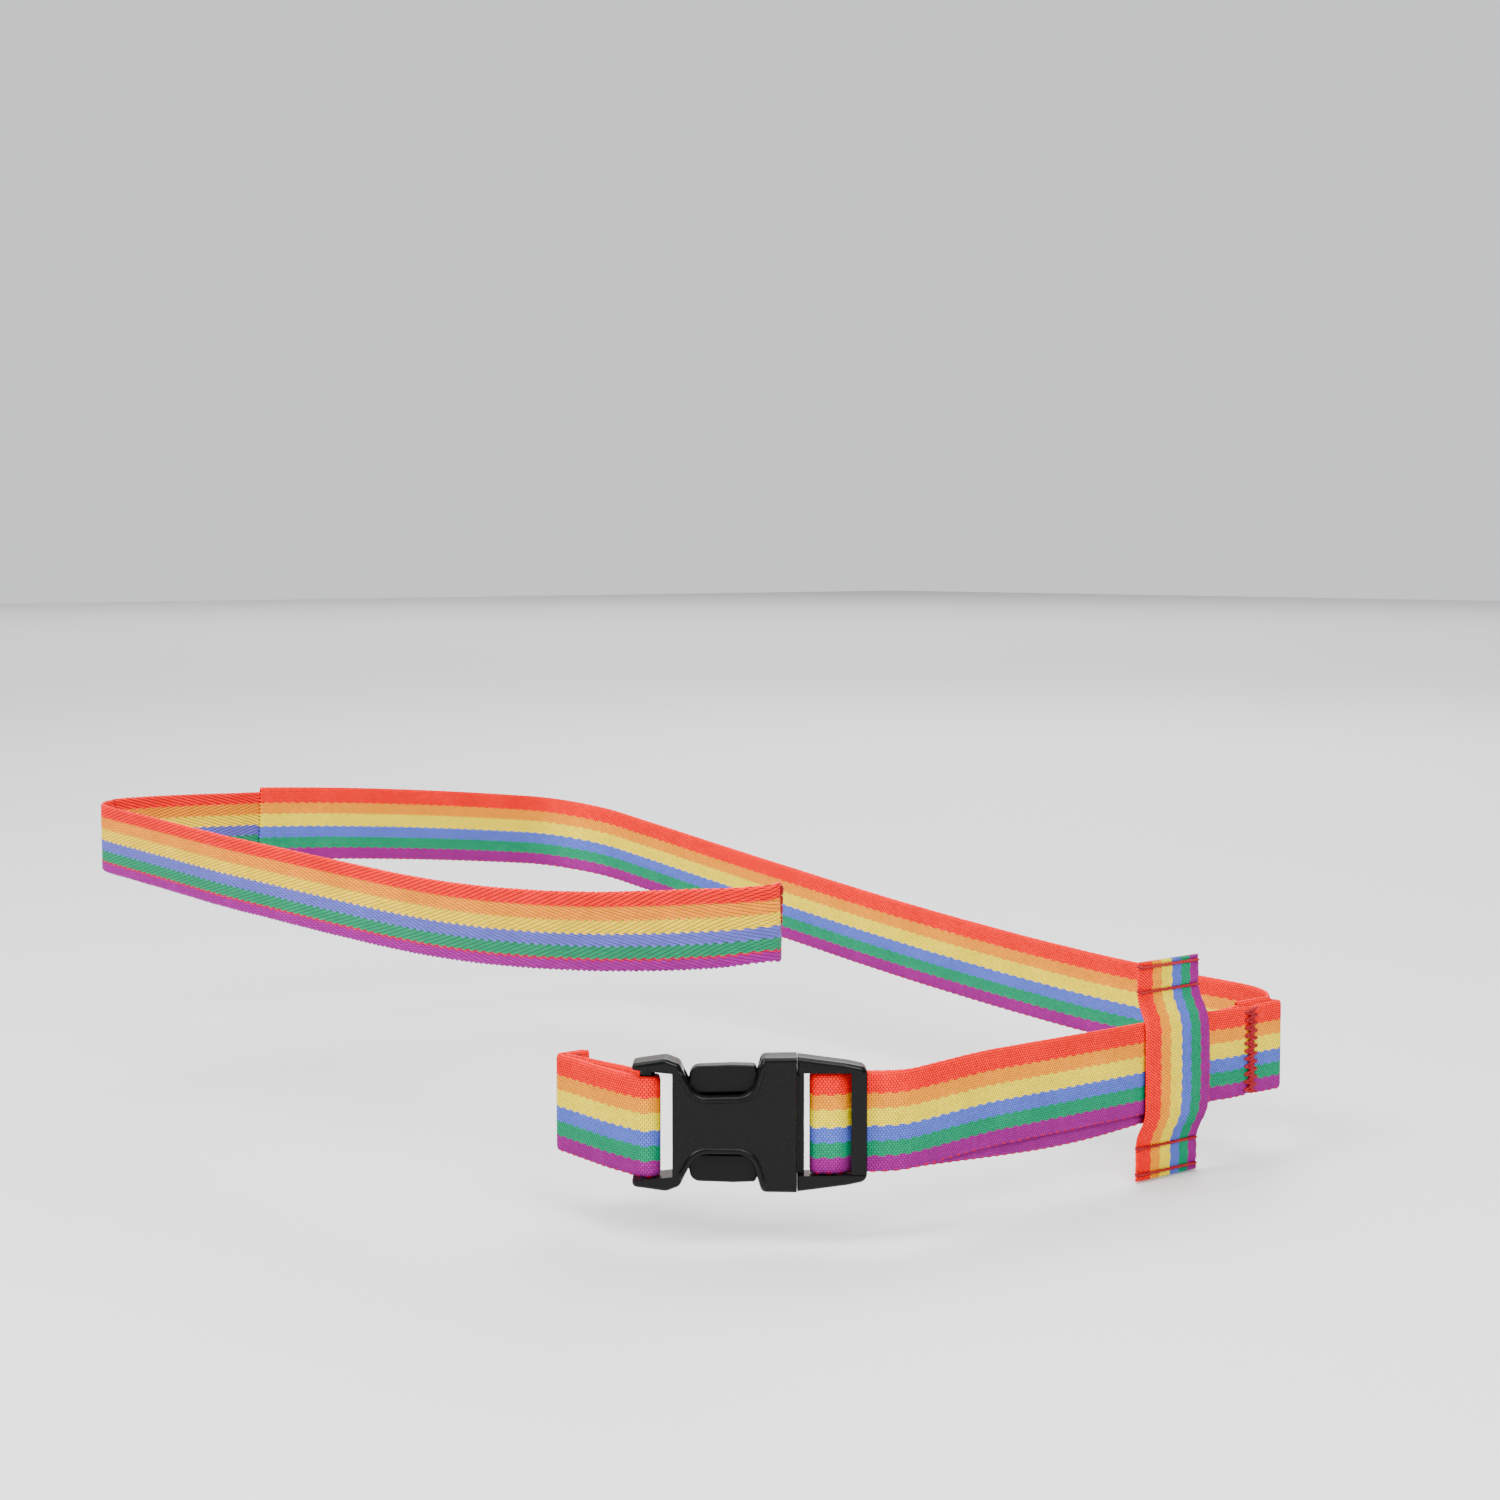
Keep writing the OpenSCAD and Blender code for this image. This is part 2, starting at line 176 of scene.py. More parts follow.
def rounded(corners: Sequence[Corner], step: float = 3) -> np.ndarray:
    """Rounds the corners of an open outline.

    Args:
        corners: Its corners, each (x, y) or (x, y, radius).
        step: Degrees between two points on an arc.

    Returns:
        Its points, one to a row.
    """
    points = [np.array(corners[0][:2], float)]
    for before, corner, after in zip(corners, corners[1:], corners[2:]):
        points += fillet(before, corner, after, step)
    points.append(np.array(corners[-1][:2], float))
    return np.array(points)


class Line:
    """The middle line of a webbing: where it runs, which way is up its width and which way it faces."""

    blend_span = 2.0
    run_reach = 0.4

    def __init__(self, corners: Sequence[Corner], face: int) -> None:
        """Measures the route.

        Args:
            corners: The route's corners in its own plane.
            face: 1 where the right-hand side of the route is the outer one, and -1 where the left is.
        """
        self.route = rounded(corners)
        self.marks = lengths_along(self.route)
        self.length = float(self.marks[-1])
        self.face = face

    def eased_at(self, along: np.ndarray) -> np.ndarray:
        """Points of the route in its own plane, with each corner eased as a stiff webbing eases it."""
        offsets = np.linspace(-1, 1, 5) * self.blend_span
        room = np.minimum(1, np.minimum(along, self.length - along) / self.blend_span)
        places = (on_line(self.route, self.marks, along + room * offset) for offset in offsets)
        return sum(places) / len(offsets)

    def middle(self, along: np.ndarray) -> np.ndarray:
        """Points of the middle line in space."""
        raise NotImplementedError

    def upward(self, along: np.ndarray, run: np.ndarray) -> np.ndarray:
        """The direction up the webbing's width, for the direction that it runs in."""
        raise NotImplementedError

    def frame_at(self, along: np.ndarray) -> tuple[np.ndarray, np.ndarray, np.ndarray]:
        """Gives the webbing's own directions.

        Args:
            along: Lengths along the line.

        Returns:
            Its middle, the way up its width, and the way its outer face looks, one row to a length.
        """
        behind = np.maximum(along - self.run_reach, 0)
        ahead = np.minimum(along + self.run_reach, self.length)
        run = unit(self.middle(ahead) - self.middle(behind))
        up = self.upward(along, run)
        return self.middle(along), up, unit(np.cross(run, up) * self.face)


class PlanLine(Line):
    """A webbing that stands on edge and runs round the case in plan."""

    def __init__(
        self,
        corners: Sequence[Corner],
        face: int,
        height: Callable[[np.ndarray, np.ndarray], np.ndarray],
        lean: Callable[[np.ndarray], np.ndarray] | None = None,
    ) -> None:
        """Keeps the route and its heights.

        Args:
            corners: The route's corners in plan.
            face: 1 where the right-hand side of the route is the outer one, and -1 where the left is.
            height: The middle's height for points in plan and their lengths along the route.
            lean: How far the top leans to the front, as a tangent, for points in plan.
        """
        super().__init__(corners, face)
        self.height = height
        self.lean = lean

    def middle(self, along: np.ndarray) -> np.ndarray:
        """Points of the middle line in space."""
        flat = self.eased_at(along)
        return np.column_stack([flat, self.height(flat, along)])

    def upward(self, along: np.ndarray, run: np.ndarray) -> np.ndarray:
        """The direction up the webbing's width, for the direction that it runs in."""
        level = np.column_stack([run[:, 1], -run[:, 0], np.zeros(len(run))])
        up = np.cross(unit(level), run)
        if self.lean is not None:
            up[:, 1] -= self.lean(self.eased_at(along))
        return unit(up)


class BridgeLine(Line):
    """A webbing that runs up the case's side and stands off it, with its route drawn in X and Z."""

    def __init__(self, corners: Sequence[Corner], face: int, middle_y: float) -> None:
        """Keeps the route and its place.

        Args:
            corners: The route's corners in X and Z.
            face: 1 or -1, for the side of the route that is the outer one.
            middle_y: Where the middle of its width lies.
        """
        super().__init__(corners, face)
        self.middle_y = middle_y

    def middle(self, along: np.ndarray) -> np.ndarray:
        """Points of the middle line in space."""
        flat = self.eased_at(along)
        return np.column_stack([flat[:, 0], np.full(len(flat), self.middle_y), flat[:, 1]])

    def upward(self, along: np.ndarray, run: np.ndarray) -> np.ndarray:
        """The direction of the webbing's first edge, which is its front one."""
        return np.tile([0.0, -1.0, 0.0], (len(run), 1))


# ---------------------------------------------------------------- work on meshes


def pick(*objects: bpy.types.Object) -> None:
    """Selects only these objects and makes the first one active."""
    bpy.ops.object.select_all(action="DESELECT")
    for obj in objects:
        obj.select_set(True)
    bpy.context.view_layer.objects.active = objects[0]


def added(add: Callable[..., object], **settings: object) -> bpy.types.Object:
    """Adds an object with one of Blender's own tools, with nothing else selected."""
    bpy.ops.object.select_all(action="DESELECT")
    add(**settings)
    return bpy.context.object


def smooth(obj: bpy.types.Object) -> None:
    """Shades a mesh smooth all over."""
    pick(obj)
    bpy.ops.object.shade_smooth()


def edit_all(obj: bpy.types.Object, *steps: Callable[[], object]) -> None:
    """Runs edit mode steps on a whole mesh, one after the other."""
    pick(obj)
    bpy.ops.object.mode_set(mode="EDIT")
    bpy.ops.mesh.select_all(action="SELECT")
    for step in steps:
        step()
    bpy.ops.object.mode_set(mode="OBJECT")


def close_up(obj: bpy.types.Object) -> None:
    """Merges a mesh's doubled points and turns its faces outwards."""
    edit_all(
        obj,
        lambda: bpy.ops.mesh.remove_doubles(threshold=MERGE),
        lambda: bpy.ops.mesh.dissolve_degenerate(threshold=MERGE),
        lambda: bpy.ops.mesh.normals_make_consistent(inside=False),
    )


def apply_modifier(obj: bpy.types.Object, kind: str, **settings: object) -> None:
    """Adds a modifier with these settings and applies it."""
    pick(obj)
    modifier = obj.modifiers.new(kind.lower(), kind)
    for name, value in settings.items():
        setattr(modifier, name, value)
    bpy.ops.object.modifier_apply(modifier=modifier.name)


def joined(name: str, parts: Sequence[bpy.types.Object]) -> bpy.types.Object:
    """Joins parts into one named piece."""
    pick(*parts)
    if len(parts) > 1:
        bpy.ops.object.join()
    parts[0].name = parts[0].data.name = name
    return parts[0]


def points_of(obj: bpy.types.Object) -> np.ndarray:
    """A mesh's points, one to a row."""
    flat = np.zeros(len(obj.data.vertices) * 3)
    obj.data.vertices.foreach_get("co", flat)
    return flat.reshape(-1, 3)


def place_points(obj: bpy.types.Object, points: np.ndarray) -> None:
    """Puts a mesh's points at these places."""
    obj.data.vertices.foreach_set("co", np.ascontiguousarray(points, float).ravel())
    obj.data.update()


class WovenGrid:
    """A flat grid that is wrapped round a shape: its columns run along it and its rows across it."""

    def __init__(self, name: str, columns: int, rows: int) -> None:
        """Lays the grid out flat.

        Args:
            name: The piece's name.
            columns: Number of faces along.
            rows: Number of faces across.
        """
        add = bpy.ops.mesh.primitive_grid_add
        self.obj = added(add, x_subdivisions=columns, y_subdivisions=rows, size=1)
        self.obj.name = self.obj.data.name = name
        flat = points_of(self.obj)
        self.column = np.rint((flat[:, 0] + 0.5) * columns)
        self.row = np.rint((0.5 - flat[:, 1]) * rows)

    def wrap(self, points: np.ndarray, pattern: tuple[np.ndarray, np.ndarray]) -> None:
        """Puts the grid in place.

        Args:
            points: Where each of its points goes, in millimetres.
            pattern: Each point's place along and across the pattern, kept in the UV map.
        """
        place_points(self.obj, points * MM)
        mesh = self.obj.data
        corner = np.zeros(len(mesh.loops), int)
        mesh.loops.foreach_get("vertex_index", corner)
        layer = mesh.uv_layers.active
        layer.name = WEAVE_MAP
        layer.data.foreach_set("uv", np.column_stack(pattern)[corner].astype(np.float32).ravel())


# ---------------------------------------------------------------- webbing


class Bond(Enum):
    """How far each yarn's float starts past that of the yarn above it, as a share of the repeat."""

    PLAIN = 1 / 2
    TWILL = 1 / 3


@dataclass(frozen=True)
class Stripe:
    """One lengthwise stripe: its scene colour, its yarns, and which way its twill climbs."""

    colour: Colour
    yarns: float
    climb: int = 1


@dataclass(frozen=True)
class Weave:
    """How a webbing is woven."""

    bond: Bond
    width: float
    thickness: float
    stripes: tuple[Stripe, ...]
    repeat: float
    samples: int
    relief: float
    loop_pitch: float
    loop_depth: float

    @property
    def yarns(self) -> int:
        """Number of yarn spacings from edge to edge."""
        return round(sum(stripe.yarns for stripe in self.stripes))

    def climb_of(self, yarn: np.ndarray) -> np.ndarray:
        """Which way the twill climbs at each yarn."""
        ends = np.cumsum([stripe.yarns for stripe in self.stripes])
        which = np.minimum(np.searchsorted(ends, yarn, side="right"), len(self.stripes) - 1)
        return np.array([stripe.climb for stripe in self.stripes])[which]


@dataclass(frozen=True)
class Seam:
    """Where a row of stitching pulls a webbing in.

    along is its place, half_width its reach, depth how far it dents the outer face, and pinch
    the share by which it narrows the webbing.
    """

    along: float
    half_width: float
    depth: float
    pinch: float = 0.0


@dataclass
class Webbing:
    """A length of webbing swept along its line."""

    name: str
    weave: Weave
    line: Line
    seams: Sequence[Seam] = ()
    ripple: float = 0.12
    ripple_length: float = 47.0
    extra: Callable[[np.ndarray, np.ndarray], np.ndarray] | None = None
    edge_yarns: float = 2
    edge_shares: tuple[float, ...] = (0.42, 0.82, 1.0)

    def seam_pull(self, along: np.ndarray) -> tuple[np.ndarray, np.ndarray]:
        """How deep the seams dent the face and by what share they narrow it, at each length."""
        dent, pinch = np.zeros(len(along)), np.zeros(len(along))
        for seam in self.seams:
            near = np.exp(-(((along - seam.along) / seam.half_width) ** 2))
            dent += seam.depth * near
            pinch += seam.pinch * near
        return dent, pinch

    def edge_loops(self, along: np.ndarray, row: np.ndarray) -> np.ndarray:
        """How far the weft's turning loops push the outer yarns out, up being positive."""
        weave, reach = self.weave, self.edge_yarns
        turn = FULL_TURN * along / weave.loop_pitch
        low = np.clip(row - weave.yarns + reach, 0, reach) / reach
        top = np.clip(reach - row, 0, reach) / reach
        return weave.loop_depth * (0.4 * top * np.cos(turn) - low * np.cos(turn + LOOP_LAG))

    def slow_waves(self, along: np.ndarray, across: np.ndarray) -> np.ndarray:
        """Slow unevenness of the face: a long wave and a shorter one that runs slightly askew."""
        long_wave = np.sin(FULL_TURN * along / self.ripple_length + 0.7)
        short_wave = np.sin(FULL_TURN * along / (self.ripple_length * 0.37) + 2.1 + 3 * across)
        return self.ripple * (long_wave + 0.6 * short_wave) * 0.6

    def build(self) -> bpy.types.Object:
        """Makes the webbing.

        Returns:
            Its closed mesh, with yarns in relief and a UV map that counts repeats and yarns.
        """
        weave, length = self.weave, self.line.length
        rows = weave.yarns
        columns = min(round(length / weave.repeat * weave.samples), FACE_LIMIT // (4 * rows))
        grid = WovenGrid(self.name, columns, rows)
        along = grid.column / columns * length
        across = 0.5 - grid.row / rows
        repeats = grid.column / weave.samples
        phase = repeats + weave.bond.value * weave.climb_of(grid.row) * grid.row
        dent, pinch = self.seam_pull(along)
        lift = weave.relief * np.cos(FULL_TURN * phase) + self.slow_waves(along, across) - dent
        middle, up, out = self.line.frame_at(along)
        height = across * weave.width * (1 - pinch) + self.edge_loops(along, grid.row)
        points = middle + up * height[:, None] + out * lift[:, None]
        if self.extra is not None:
            points = points + self.extra(along, across)
        grid.wrap(points, (repeats, grid.row))
        self.thicken(grid)
        return grid.obj

    def thicken(self, grid: WovenGrid) -> None:
        """Gives the grid the webbing's thickness, thinner at its two edges, and closes it."""
        edge = np.minimum(grid.row, self.weave.yarns - grid.row)
        group = grid.obj.vertex_groups.new(name="thickness")
        for distance, share in enumerate(self.edge_shares):
            group.add(np.flatnonzero(edge >= distance).tolist(), share, "REPLACE")
        wall = (self.weave.thickness - self.weave.relief) * MM
        apply_modifier(grid.obj, "SOLIDIFY", thickness=wall, offset=0, vertex_group=group.name)
        grid.obj.vertex_groups.clear()
        edit_all(grid.obj, lambda: bpy.ops.mesh.normals_make_consistent(inside=False))
        smooth(grid.obj)


# ---------------------------------------------------------------- sewing thread


@dataclass(frozen=True)
class Thread:
    """Twisted sewing thread that dips into the webbing at each needle hole."""

    ply_radius: float = 0.29
    ply_offset: float = 0.18
    plies: int = 2
    twist_pitch: float = 1.5
    ring_step: float = 0.17
    sides: int = 7
    stitch: float = 3.0
    dip: float = 0.34
    hole: float = 0.38
    run_reach: float = 0.2
    fewest_rings: int = 8

    def lay(self, name: str, runs: Sequence[Sequence[Point]], out: Sequence[float]) -> bpy.types.Object:
        """Lays the thread along runs of stitches.

        Args:
            name: The piece's name.
            runs: Each run's corners, in millimetres.
            out: The way the webbing's face looks.

        Returns:
            One piece that holds every run.
        """
        face = np.array(out, float)
        lines = [np.array(run, float) for run in runs]
        parts = [self.ply(f"{name}_ply", line, face, k) for line in lines for k in range(self.plies)]
        piece = joined(name, parts)
        close_up(piece)
        smooth(piece)
        return piece

    def ply(self, name: str, corners: np.ndarray, out: np.ndarray, number: int) -> bpy.types.Object:
        """One ply of a run, wound round the run's own line."""
        marks = lengths_along(corners)
        length = marks[-1]
        rings = max(self.fewest_rings, round(length / self.ring_step))
        grid = WovenGrid(name, rings, self.sides)
        along = grid.column / rings * length
        run = run_of(corners, marks, along, self.run_reach)
        side = unit(np.cross(run, out))
        face = np.cross(side, run)

        def round_about(angle: np.ndarray) -> np.ndarray:
            """Directions at these angles round the run."""
            return side * np.cos(angle)[:, None] + face * np.sin(angle)[:, None]

        from_hole = (along - self.stitch * np.rint(along / self.stitch)) / self.hole
        line = on_line(corners, marks, along) - face * (self.dip * np.exp(-(from_hole**2)))[:, None]
        turn = FULL_TURN * (along / self.twist_pitch + number / self.plies)
        line = line + self.ply_offset * round_about(turn)
        radius = self.ply_radius * round_end(along, length, 1.2 * self.ply_radius)
        ring = round_about(FULL_TURN * grid.row / self.sides)
        grid.wrap(line + ring * radius[:, None], (along, grid.row / self.sides))
        return grid.obj


# ---------------------------------------------------------------- node trees


class Tree:
    """Adds nodes to one node tree and wires them up as they are made."""

    def __init__(self, tree: bpy.types.NodeTree) -> None:
        """Keeps the tree that nodes go into."""
        self.tree = tree

    def node(self, kind: str, values: Inputs | None = None, **settings: object) -> bpy.types.Node:
        """Adds a node.

        Args:
            kind: The node's type.
            values: Its inputs, each a plain value or the socket that feeds it.
            settings: Its own properties.

        Returns:
            The new node.
        """
        made = self.tree.nodes.new(kind)
        for name, value in settings.items():
            setattr(made, name, value)
        self.fill(made, values or {})
        return made

    def fill(self, node: bpy.types.Node, values: Inputs) -> None:
        """Feeds a node's inputs, each from a plain value or a socket."""
        for name, value in values.items():
            self.feed(node.inputs[name], value)

    def feed(self, socket: bpy.types.NodeSocket, value: object) -> None:
        """Links a socket to its source, or sets its plain value."""
        if isinstance(value, bpy.types.NodeSocket):
            self.tree.links.new(value, socket)
        else:
            socket.default_value = value

    def math(self, operation: str, *values: Value) -> bpy.types.NodeSocket:
        """The result of a Math node."""
        return self.node("ShaderNodeMath", dict(enumerate(values)), operation=operation).outputs[0]

    def map(
        self, value: Value, low: float, high: float, to_low: Value, to_high: Value, kind: str = "LINEAR"
    ) -> bpy.types.NodeSocket:
        """A value carried from one range to another, evenly unless another kind is named."""
        ends = {0: value, 1: low, 2: high, 3: to_low, 4: to_high}
        return self.node("ShaderNodeMapRange", ends, interpolation_type=kind).outputs[0]

    def mix(self, factor: Value, first: object, second: object, blend: str = "MIX") -> bpy.types.NodeSocket:
        """Two colours mixed."""
        made = self.node("ShaderNodeMix", data_type="RGBA", blend_type=blend)
        self.fill(made, {0: factor, 6: first, 7: second})
        return made.outputs[2]

    def noise(self, scale: Value, detail: float, rough: float = 0.5) -> bpy.types.NodeSocket:
        """Noise on a piece's own coordinates."""
        place = self.node("ShaderNodeTexCoord").outputs["Object"]
        values = {"Vector": place, "Scale": scale, "Detail": detail, "Roughness": rough}
        return self.node("ShaderNodeTexNoise", values).outputs[0]

    def weave_place(self) -> tuple[bpy.types.NodeSocket, bpy.types.NodeSocket]:
        """A webbing's or a thread's place along and across, from its UV map."""
        flat = self.node("ShaderNodeUVMap", uv_map=WEAVE_MAP).outputs[0]
        parts = self.node("ShaderNodeSeparateXYZ", {0: flat}).outputs
        return parts[0], parts[1]

    def bands(self, factor: Value, ends: Sequence[float], colours: Sequence[Rgba]) -> bpy.types.NodeSocket:
        """A colour ramp with sharp steps: each colour lasts up to its end."""
        made = self.node("ShaderNodeValToRGB", {0: factor})
        ramp = made.color_ramp
        ramp.interpolation = "CONSTANT"
        starts = [0.0, *ends[:-1]]
        while len(ramp.elements) < len(colours):
            ramp.elements.new(0.5)
        for element, start, colour in zip(ramp.elements, starts, colours):
            element.position = start
            element.color = colour
        return made.outputs[0]

    def bump(self, height: Value, strength: float, distance: float) -> bpy.types.NodeSocket:
        """A bumped normal."""
        values = {"Height": height, "Strength": strength, "Distance": distance}
        return self.node("ShaderNodeBump", values).outputs[0]


def new_group(
    name: str, inputs: dict[str, float], outputs: Sequence[str]
) -> tuple[Tree, bpy.types.Node, bpy.types.Node]:
    """Starts a shader node group.

    Args:
        name: The group's name.
        inputs: Its inputs and their first values.
        outputs: Its outputs.

    Returns:
        Its tree, and its input and output nodes.
    """
    made = bpy.data.node_groups.new(name, "ShaderNodeTree")
    kind = "NodeSocketFloat"
    for label, value in inputs.items():
        made.interface.new_socket(name=label, in_out="INPUT", socket_type=kind).default_value = value
    for label in outputs:
        made.interface.new_socket(name=label, in_out="OUTPUT", socket_type=kind)
    tree = Tree(made)
    return tree, tree.node("NodeGroupInput"), tree.node("NodeGroupOutput")


def yarn_group() -> bpy.types.NodeTree:
    """Builds the group that tells a float's crown from the gap after it.

    Along counts repeats and Yarn counts yarns, as the webbing's UV map does. Shift is how far each
    yarn starts past the one above it, and Float is the share of the repeat that a yarn stays up.
    """
    tree, given, put = new_group(
        "woven_yarns",
        {"Along": 0.0, "Yarn": 0.0, "Shift": 0.5, "Float": 0.5},
        ("Crown", "Up", "Tone"),
    )

    def apart(value: Value, middle: Value) -> bpy.types.NodeSocket:
        """Distance from a middle, as a share of the half spacing."""
        return tree.math("MULTIPLY", tree.math("ABSOLUTE", tree.math("SUBTRACT", value, middle)), 2)

    def fall(distance: Value, power: float, share: float) -> bpy.types.NodeSocket:
        """Height that falls from 1 by a share as the distance grows."""
        return tree.math("SUBTRACT", 1.0, tree.math("MULTIPLY", tree.math("POWER", distance, power), share))

    row = tree.math("ROUND", given.outputs["Yarn"])
    phase = tree.math("MULTIPLY_ADD", row, given.outputs["Shift"], given.outputs["Along"])
    nearest = tree.math("ROUND", phase)
    from_middle, beside = apart(phase, nearest), apart(given.outputs["Yarn"], row)
    taper = tree.math("MULTIPLY_ADD", tree.math("POWER", beside, 2.0), 0.26, from_middle)
    up = tree.map(tree.math("SUBTRACT", taper, given.outputs["Float"]), -0.14, 0.16, 1.0, 0.0, SMOOTH)
    round_off, sag = fall(beside, 2.2, 0.8), fall(from_middle, 2.0, 0.5)
    cell = tree.node("ShaderNodeCombineXYZ", {"X": row, "Y": nearest})
    tone = tree.node("ShaderNodeTexWhiteNoise", {"Vector": cell.outputs[0]}, noise_dimensions="2D")
    crown = tree.math("MULTIPLY", tree.math("MULTIPLY", up, round_off), sag)
    tree.fill(put, {"Crown": crown, "Up": up, "Tone": tone.outputs[0]})
    return tree.tree


def grain_group() -> bpy.types.NodeTree:
    """Builds the group for a moulded, eroded surface: fine pits, slow unevenness and faint scuffs."""
    tree, given, put = new_group("moulded_grain", {"Size": 0.25}, ("Height", "Scuff"))
    scale = tree.math("DIVIDE", 1 / MM, given.outputs["Size"])
    pits = tree.noise(scale, 2.0, 0.6)
    slow = tree.noise(170.0, 3.0, 0.55)
    height = tree.math("MULTIPLY_ADD", slow, 0.5, pits)
    tree.fill(put, {"Height": height, "Scuff": tree.map(slow, 0.5, 0.72, 0.0, 1.0, SMOOTH)})
    return tree.tree


def slow_tone_group() -> bpy.types.NodeTree:
    """Builds the group for slow changes of tone, as handled cloth has."""
    tree, given, put = new_group("handled_tone", {"Low": 0.9, "High": 1.06}, ("Tone",))
    patches = tree.noise(75.0, 4.0, 0.6)
    tree.feed(put.inputs["Tone"], tree.map(patches, 0.3, 0.7, given.outputs["Low"], given.outputs["High"]))
    return tree.tree


def toned(colour: Colour, gain: float = 1.0) -> Rgba:
    """A scene colour with its alpha, made lighter or darker by the gain."""
    return (*(min(1.0, part * gain) for part in colour), 1.0)


def new_material(name: str) -> tuple[bpy.types.Material, Tree, bpy.types.Node]:
    """Starts a material.

    Args:
        name: The material's name.

    Returns:
        The material, its tree, and its shader.
    """
    material = bpy.data.materials.new(name)
    material.use_nodes = True
    material.node_tree.nodes.clear()
    tree = Tree(material.node_tree)
    shader = tree.node("ShaderNodeBsdfPrincipled")
    tree.node("ShaderNodeOutputMaterial", {"Surface": shader.outputs[0]})
    return material, tree, shader


# ---------------------------------------------------------------- finishes


@dataclass(frozen=True)
class WovenFinish:
    """Cloth of a weave: striped warp with a painted highlight on each float's crown, gaps between the floats
    that show the weft's colour darkened by painted shade, and a soft sheen.
    """

    name: str
    weave: Weave
    float_share: float
    # The gap colour is the weft's colour darkened by painted shade; the last factor is painted shade that
    # darkens the stripe in the gaps.
    shaded_weft_colour: Colour
    gap_share: float
    gap_shade: float
    step_repeats: float
    step_yarns: float
    fleck_colour: Colour | None = None

    def material(self, groups: dict[str, bpy.types.NodeTree]) -> bpy.types.Material:
        """Builds the material.

        Args:
            groups: The shared node groups.

        Returns:
            The material.
        """
        material, tree, shader = new_material(self.name)
        along, yarn = tree.weave_place()
        stripe, climb = self.stripe_and_climb(tree, along, yarn)
        given = {"Along": along, "Yarn": yarn, "Shift": climb, "Float": self.float_share}
        floats = tree.node("ShaderNodeGroup", node_tree=groups["yarns"])
        tree.fill(floats, given)
        crown, up, tone = (floats.outputs[label] for label in ("Crown", "Up", "Tone"))
        worn = tree.node("ShaderNodeGroup", node_tree=groups["tone"])
        level = tree.math("MULTIPLY", tree.map(tone, 0, 1, 0.9, 1.08), worn.outputs["Tone"])
        # Painted highlight and shade on every float: its colour is lighter at the crown and darker towards its
        # sides and ends.
        level = tree.math("MULTIPLY", level, tree.map(crown, 0, 1, 0.8, 1.12))
        grey = tree.node("ShaderNodeCombineColor", {0: level, 1: level, 2: level}).outputs[0]
        lit = tree.mix(1.0, stripe, grey, "MULTIPLY")
        # Painted shade in the gaps between floats: the stripe is darkened, then mixed with the weft's colour,
        # which is also darkened by painted shade.
        deep = tree.mix(1.0, stripe, (self.gap_shade,) * 3 + (1.0,), "MULTIPLY")
        deep = tree.mix(self.gap_share, deep, toned(self.shaded_weft_colour))
        colour = tree.mix(up, deep, lit)
        if self.fleck_colour is not None:
            colour = self.flecked(tree, along, yarn, colour)
        rough, normal = tree.map(crown, 0, 1, 0.78, 0.5), tree.bump(crown, 0.6, 0.12 * MM)
        tree.fill(shader, {"Base Color": colour, "Roughness": rough, "Normal": normal, SHINE: 0.06})
        return material

    def stripe_and_climb(self, tree: Tree, along: Value, yarn: Value) -> tuple[Value, Value]:
        """Finds the stripe's colour, whose edges step in and out with the weave, and its twill's shift."""
        weave = self.weave
        ends = np.cumsum([stripe.yarns for stripe in weave.stripes]) / weave.yarns
        turn = tree.math("MULTIPLY", along, FULL_TURN / self.step_repeats)
        wave = tree.math("SIGN", tree.math("SINE", turn))
        stepped = tree.math("ROUND", tree.math("MULTIPLY_ADD", wave, self.step_yarns, yarn))
        share = tree.math("DIVIDE", tree.math("ADD", stepped, 0.001), weave.yarns)
        colour = tree.bands(share, ends, [toned(stripe.colour) for stripe in weave.stripes])
        plain_share = tree.math("DIVIDE", tree.math("ROUND", yarn), weave.yarns)
        climbs = [(0.5 + 0.5 * stripe.climb,) * 3 + (1.0,) for stripe in weave.stripes]
        shift = weave.bond.value
        return colour, tree.map(tree.bands(plain_share, ends, climbs), 0, 1, -shift, shift)

    def flecked(self, tree: Tree, along: Value, yarn: Value, colour: Value) -> bpy.types.NodeSocket:
        """Adds the weft's turning loops along the lower edge."""
        weave = self.weave
        turn = tree.math("MULTIPLY", along, FULL_TURN * weave.repeat / weave.loop_pitch)
        spot = tree.map(tree.math("COSINE", tree.math("ADD", turn, LOOP_LAG)), 0.2, 0.7, 0.0, 1.0, SMOOTH)
        edge = tree.map(yarn, weave.yarns - 1.1, weave.yarns - 0.3, 0.0, 1.0, SMOOTH)
        return tree.mix(tree.math("MULTIPLY", spot, edge), colour, toned(self.fleck_colour))


@dataclass(frozen=True)
class ThreadFinish:
    """Glossy crimson thread with the fine lines of its twisted fibres in relief, and painted shade along them:
    lighter on each ridge, darker between.
    """

    name: str = "crimson_thread"
    colour: Colour = (0.3, 0.0, 0.008)

    def material(self) -> bpy.types.Material:
        """Builds the material."""
        material, tree, shader = new_material(self.name)
        along, across = tree.weave_place()
        slant = tree.math("MULTIPLY_ADD", along, 1.6, tree.math("MULTIPLY", across, 6.0))
        fibres = tree.math("SINE", tree.math("MULTIPLY", slant, FULL_TURN))
        # Painted shade along the twist: the colour is lighter where the fibres' bump is high and darker in the
        # grooves between them.
        tone = tree.map(fibres, -1, 1, 0.0, 1.0)
        colour = tree.mix(tone, toned(self.colour, 0.7), toned(self.colour, 1.3))
        rough, normal = tree.map(fibres, -1, 1, 0.5, 0.36), tree.bump(tone, 0.4, 0.04 * MM)
        tree.fill(shader, {"Base Color": colour, "Roughness": rough, "Normal": normal, SHINE: 0.25})
        return material


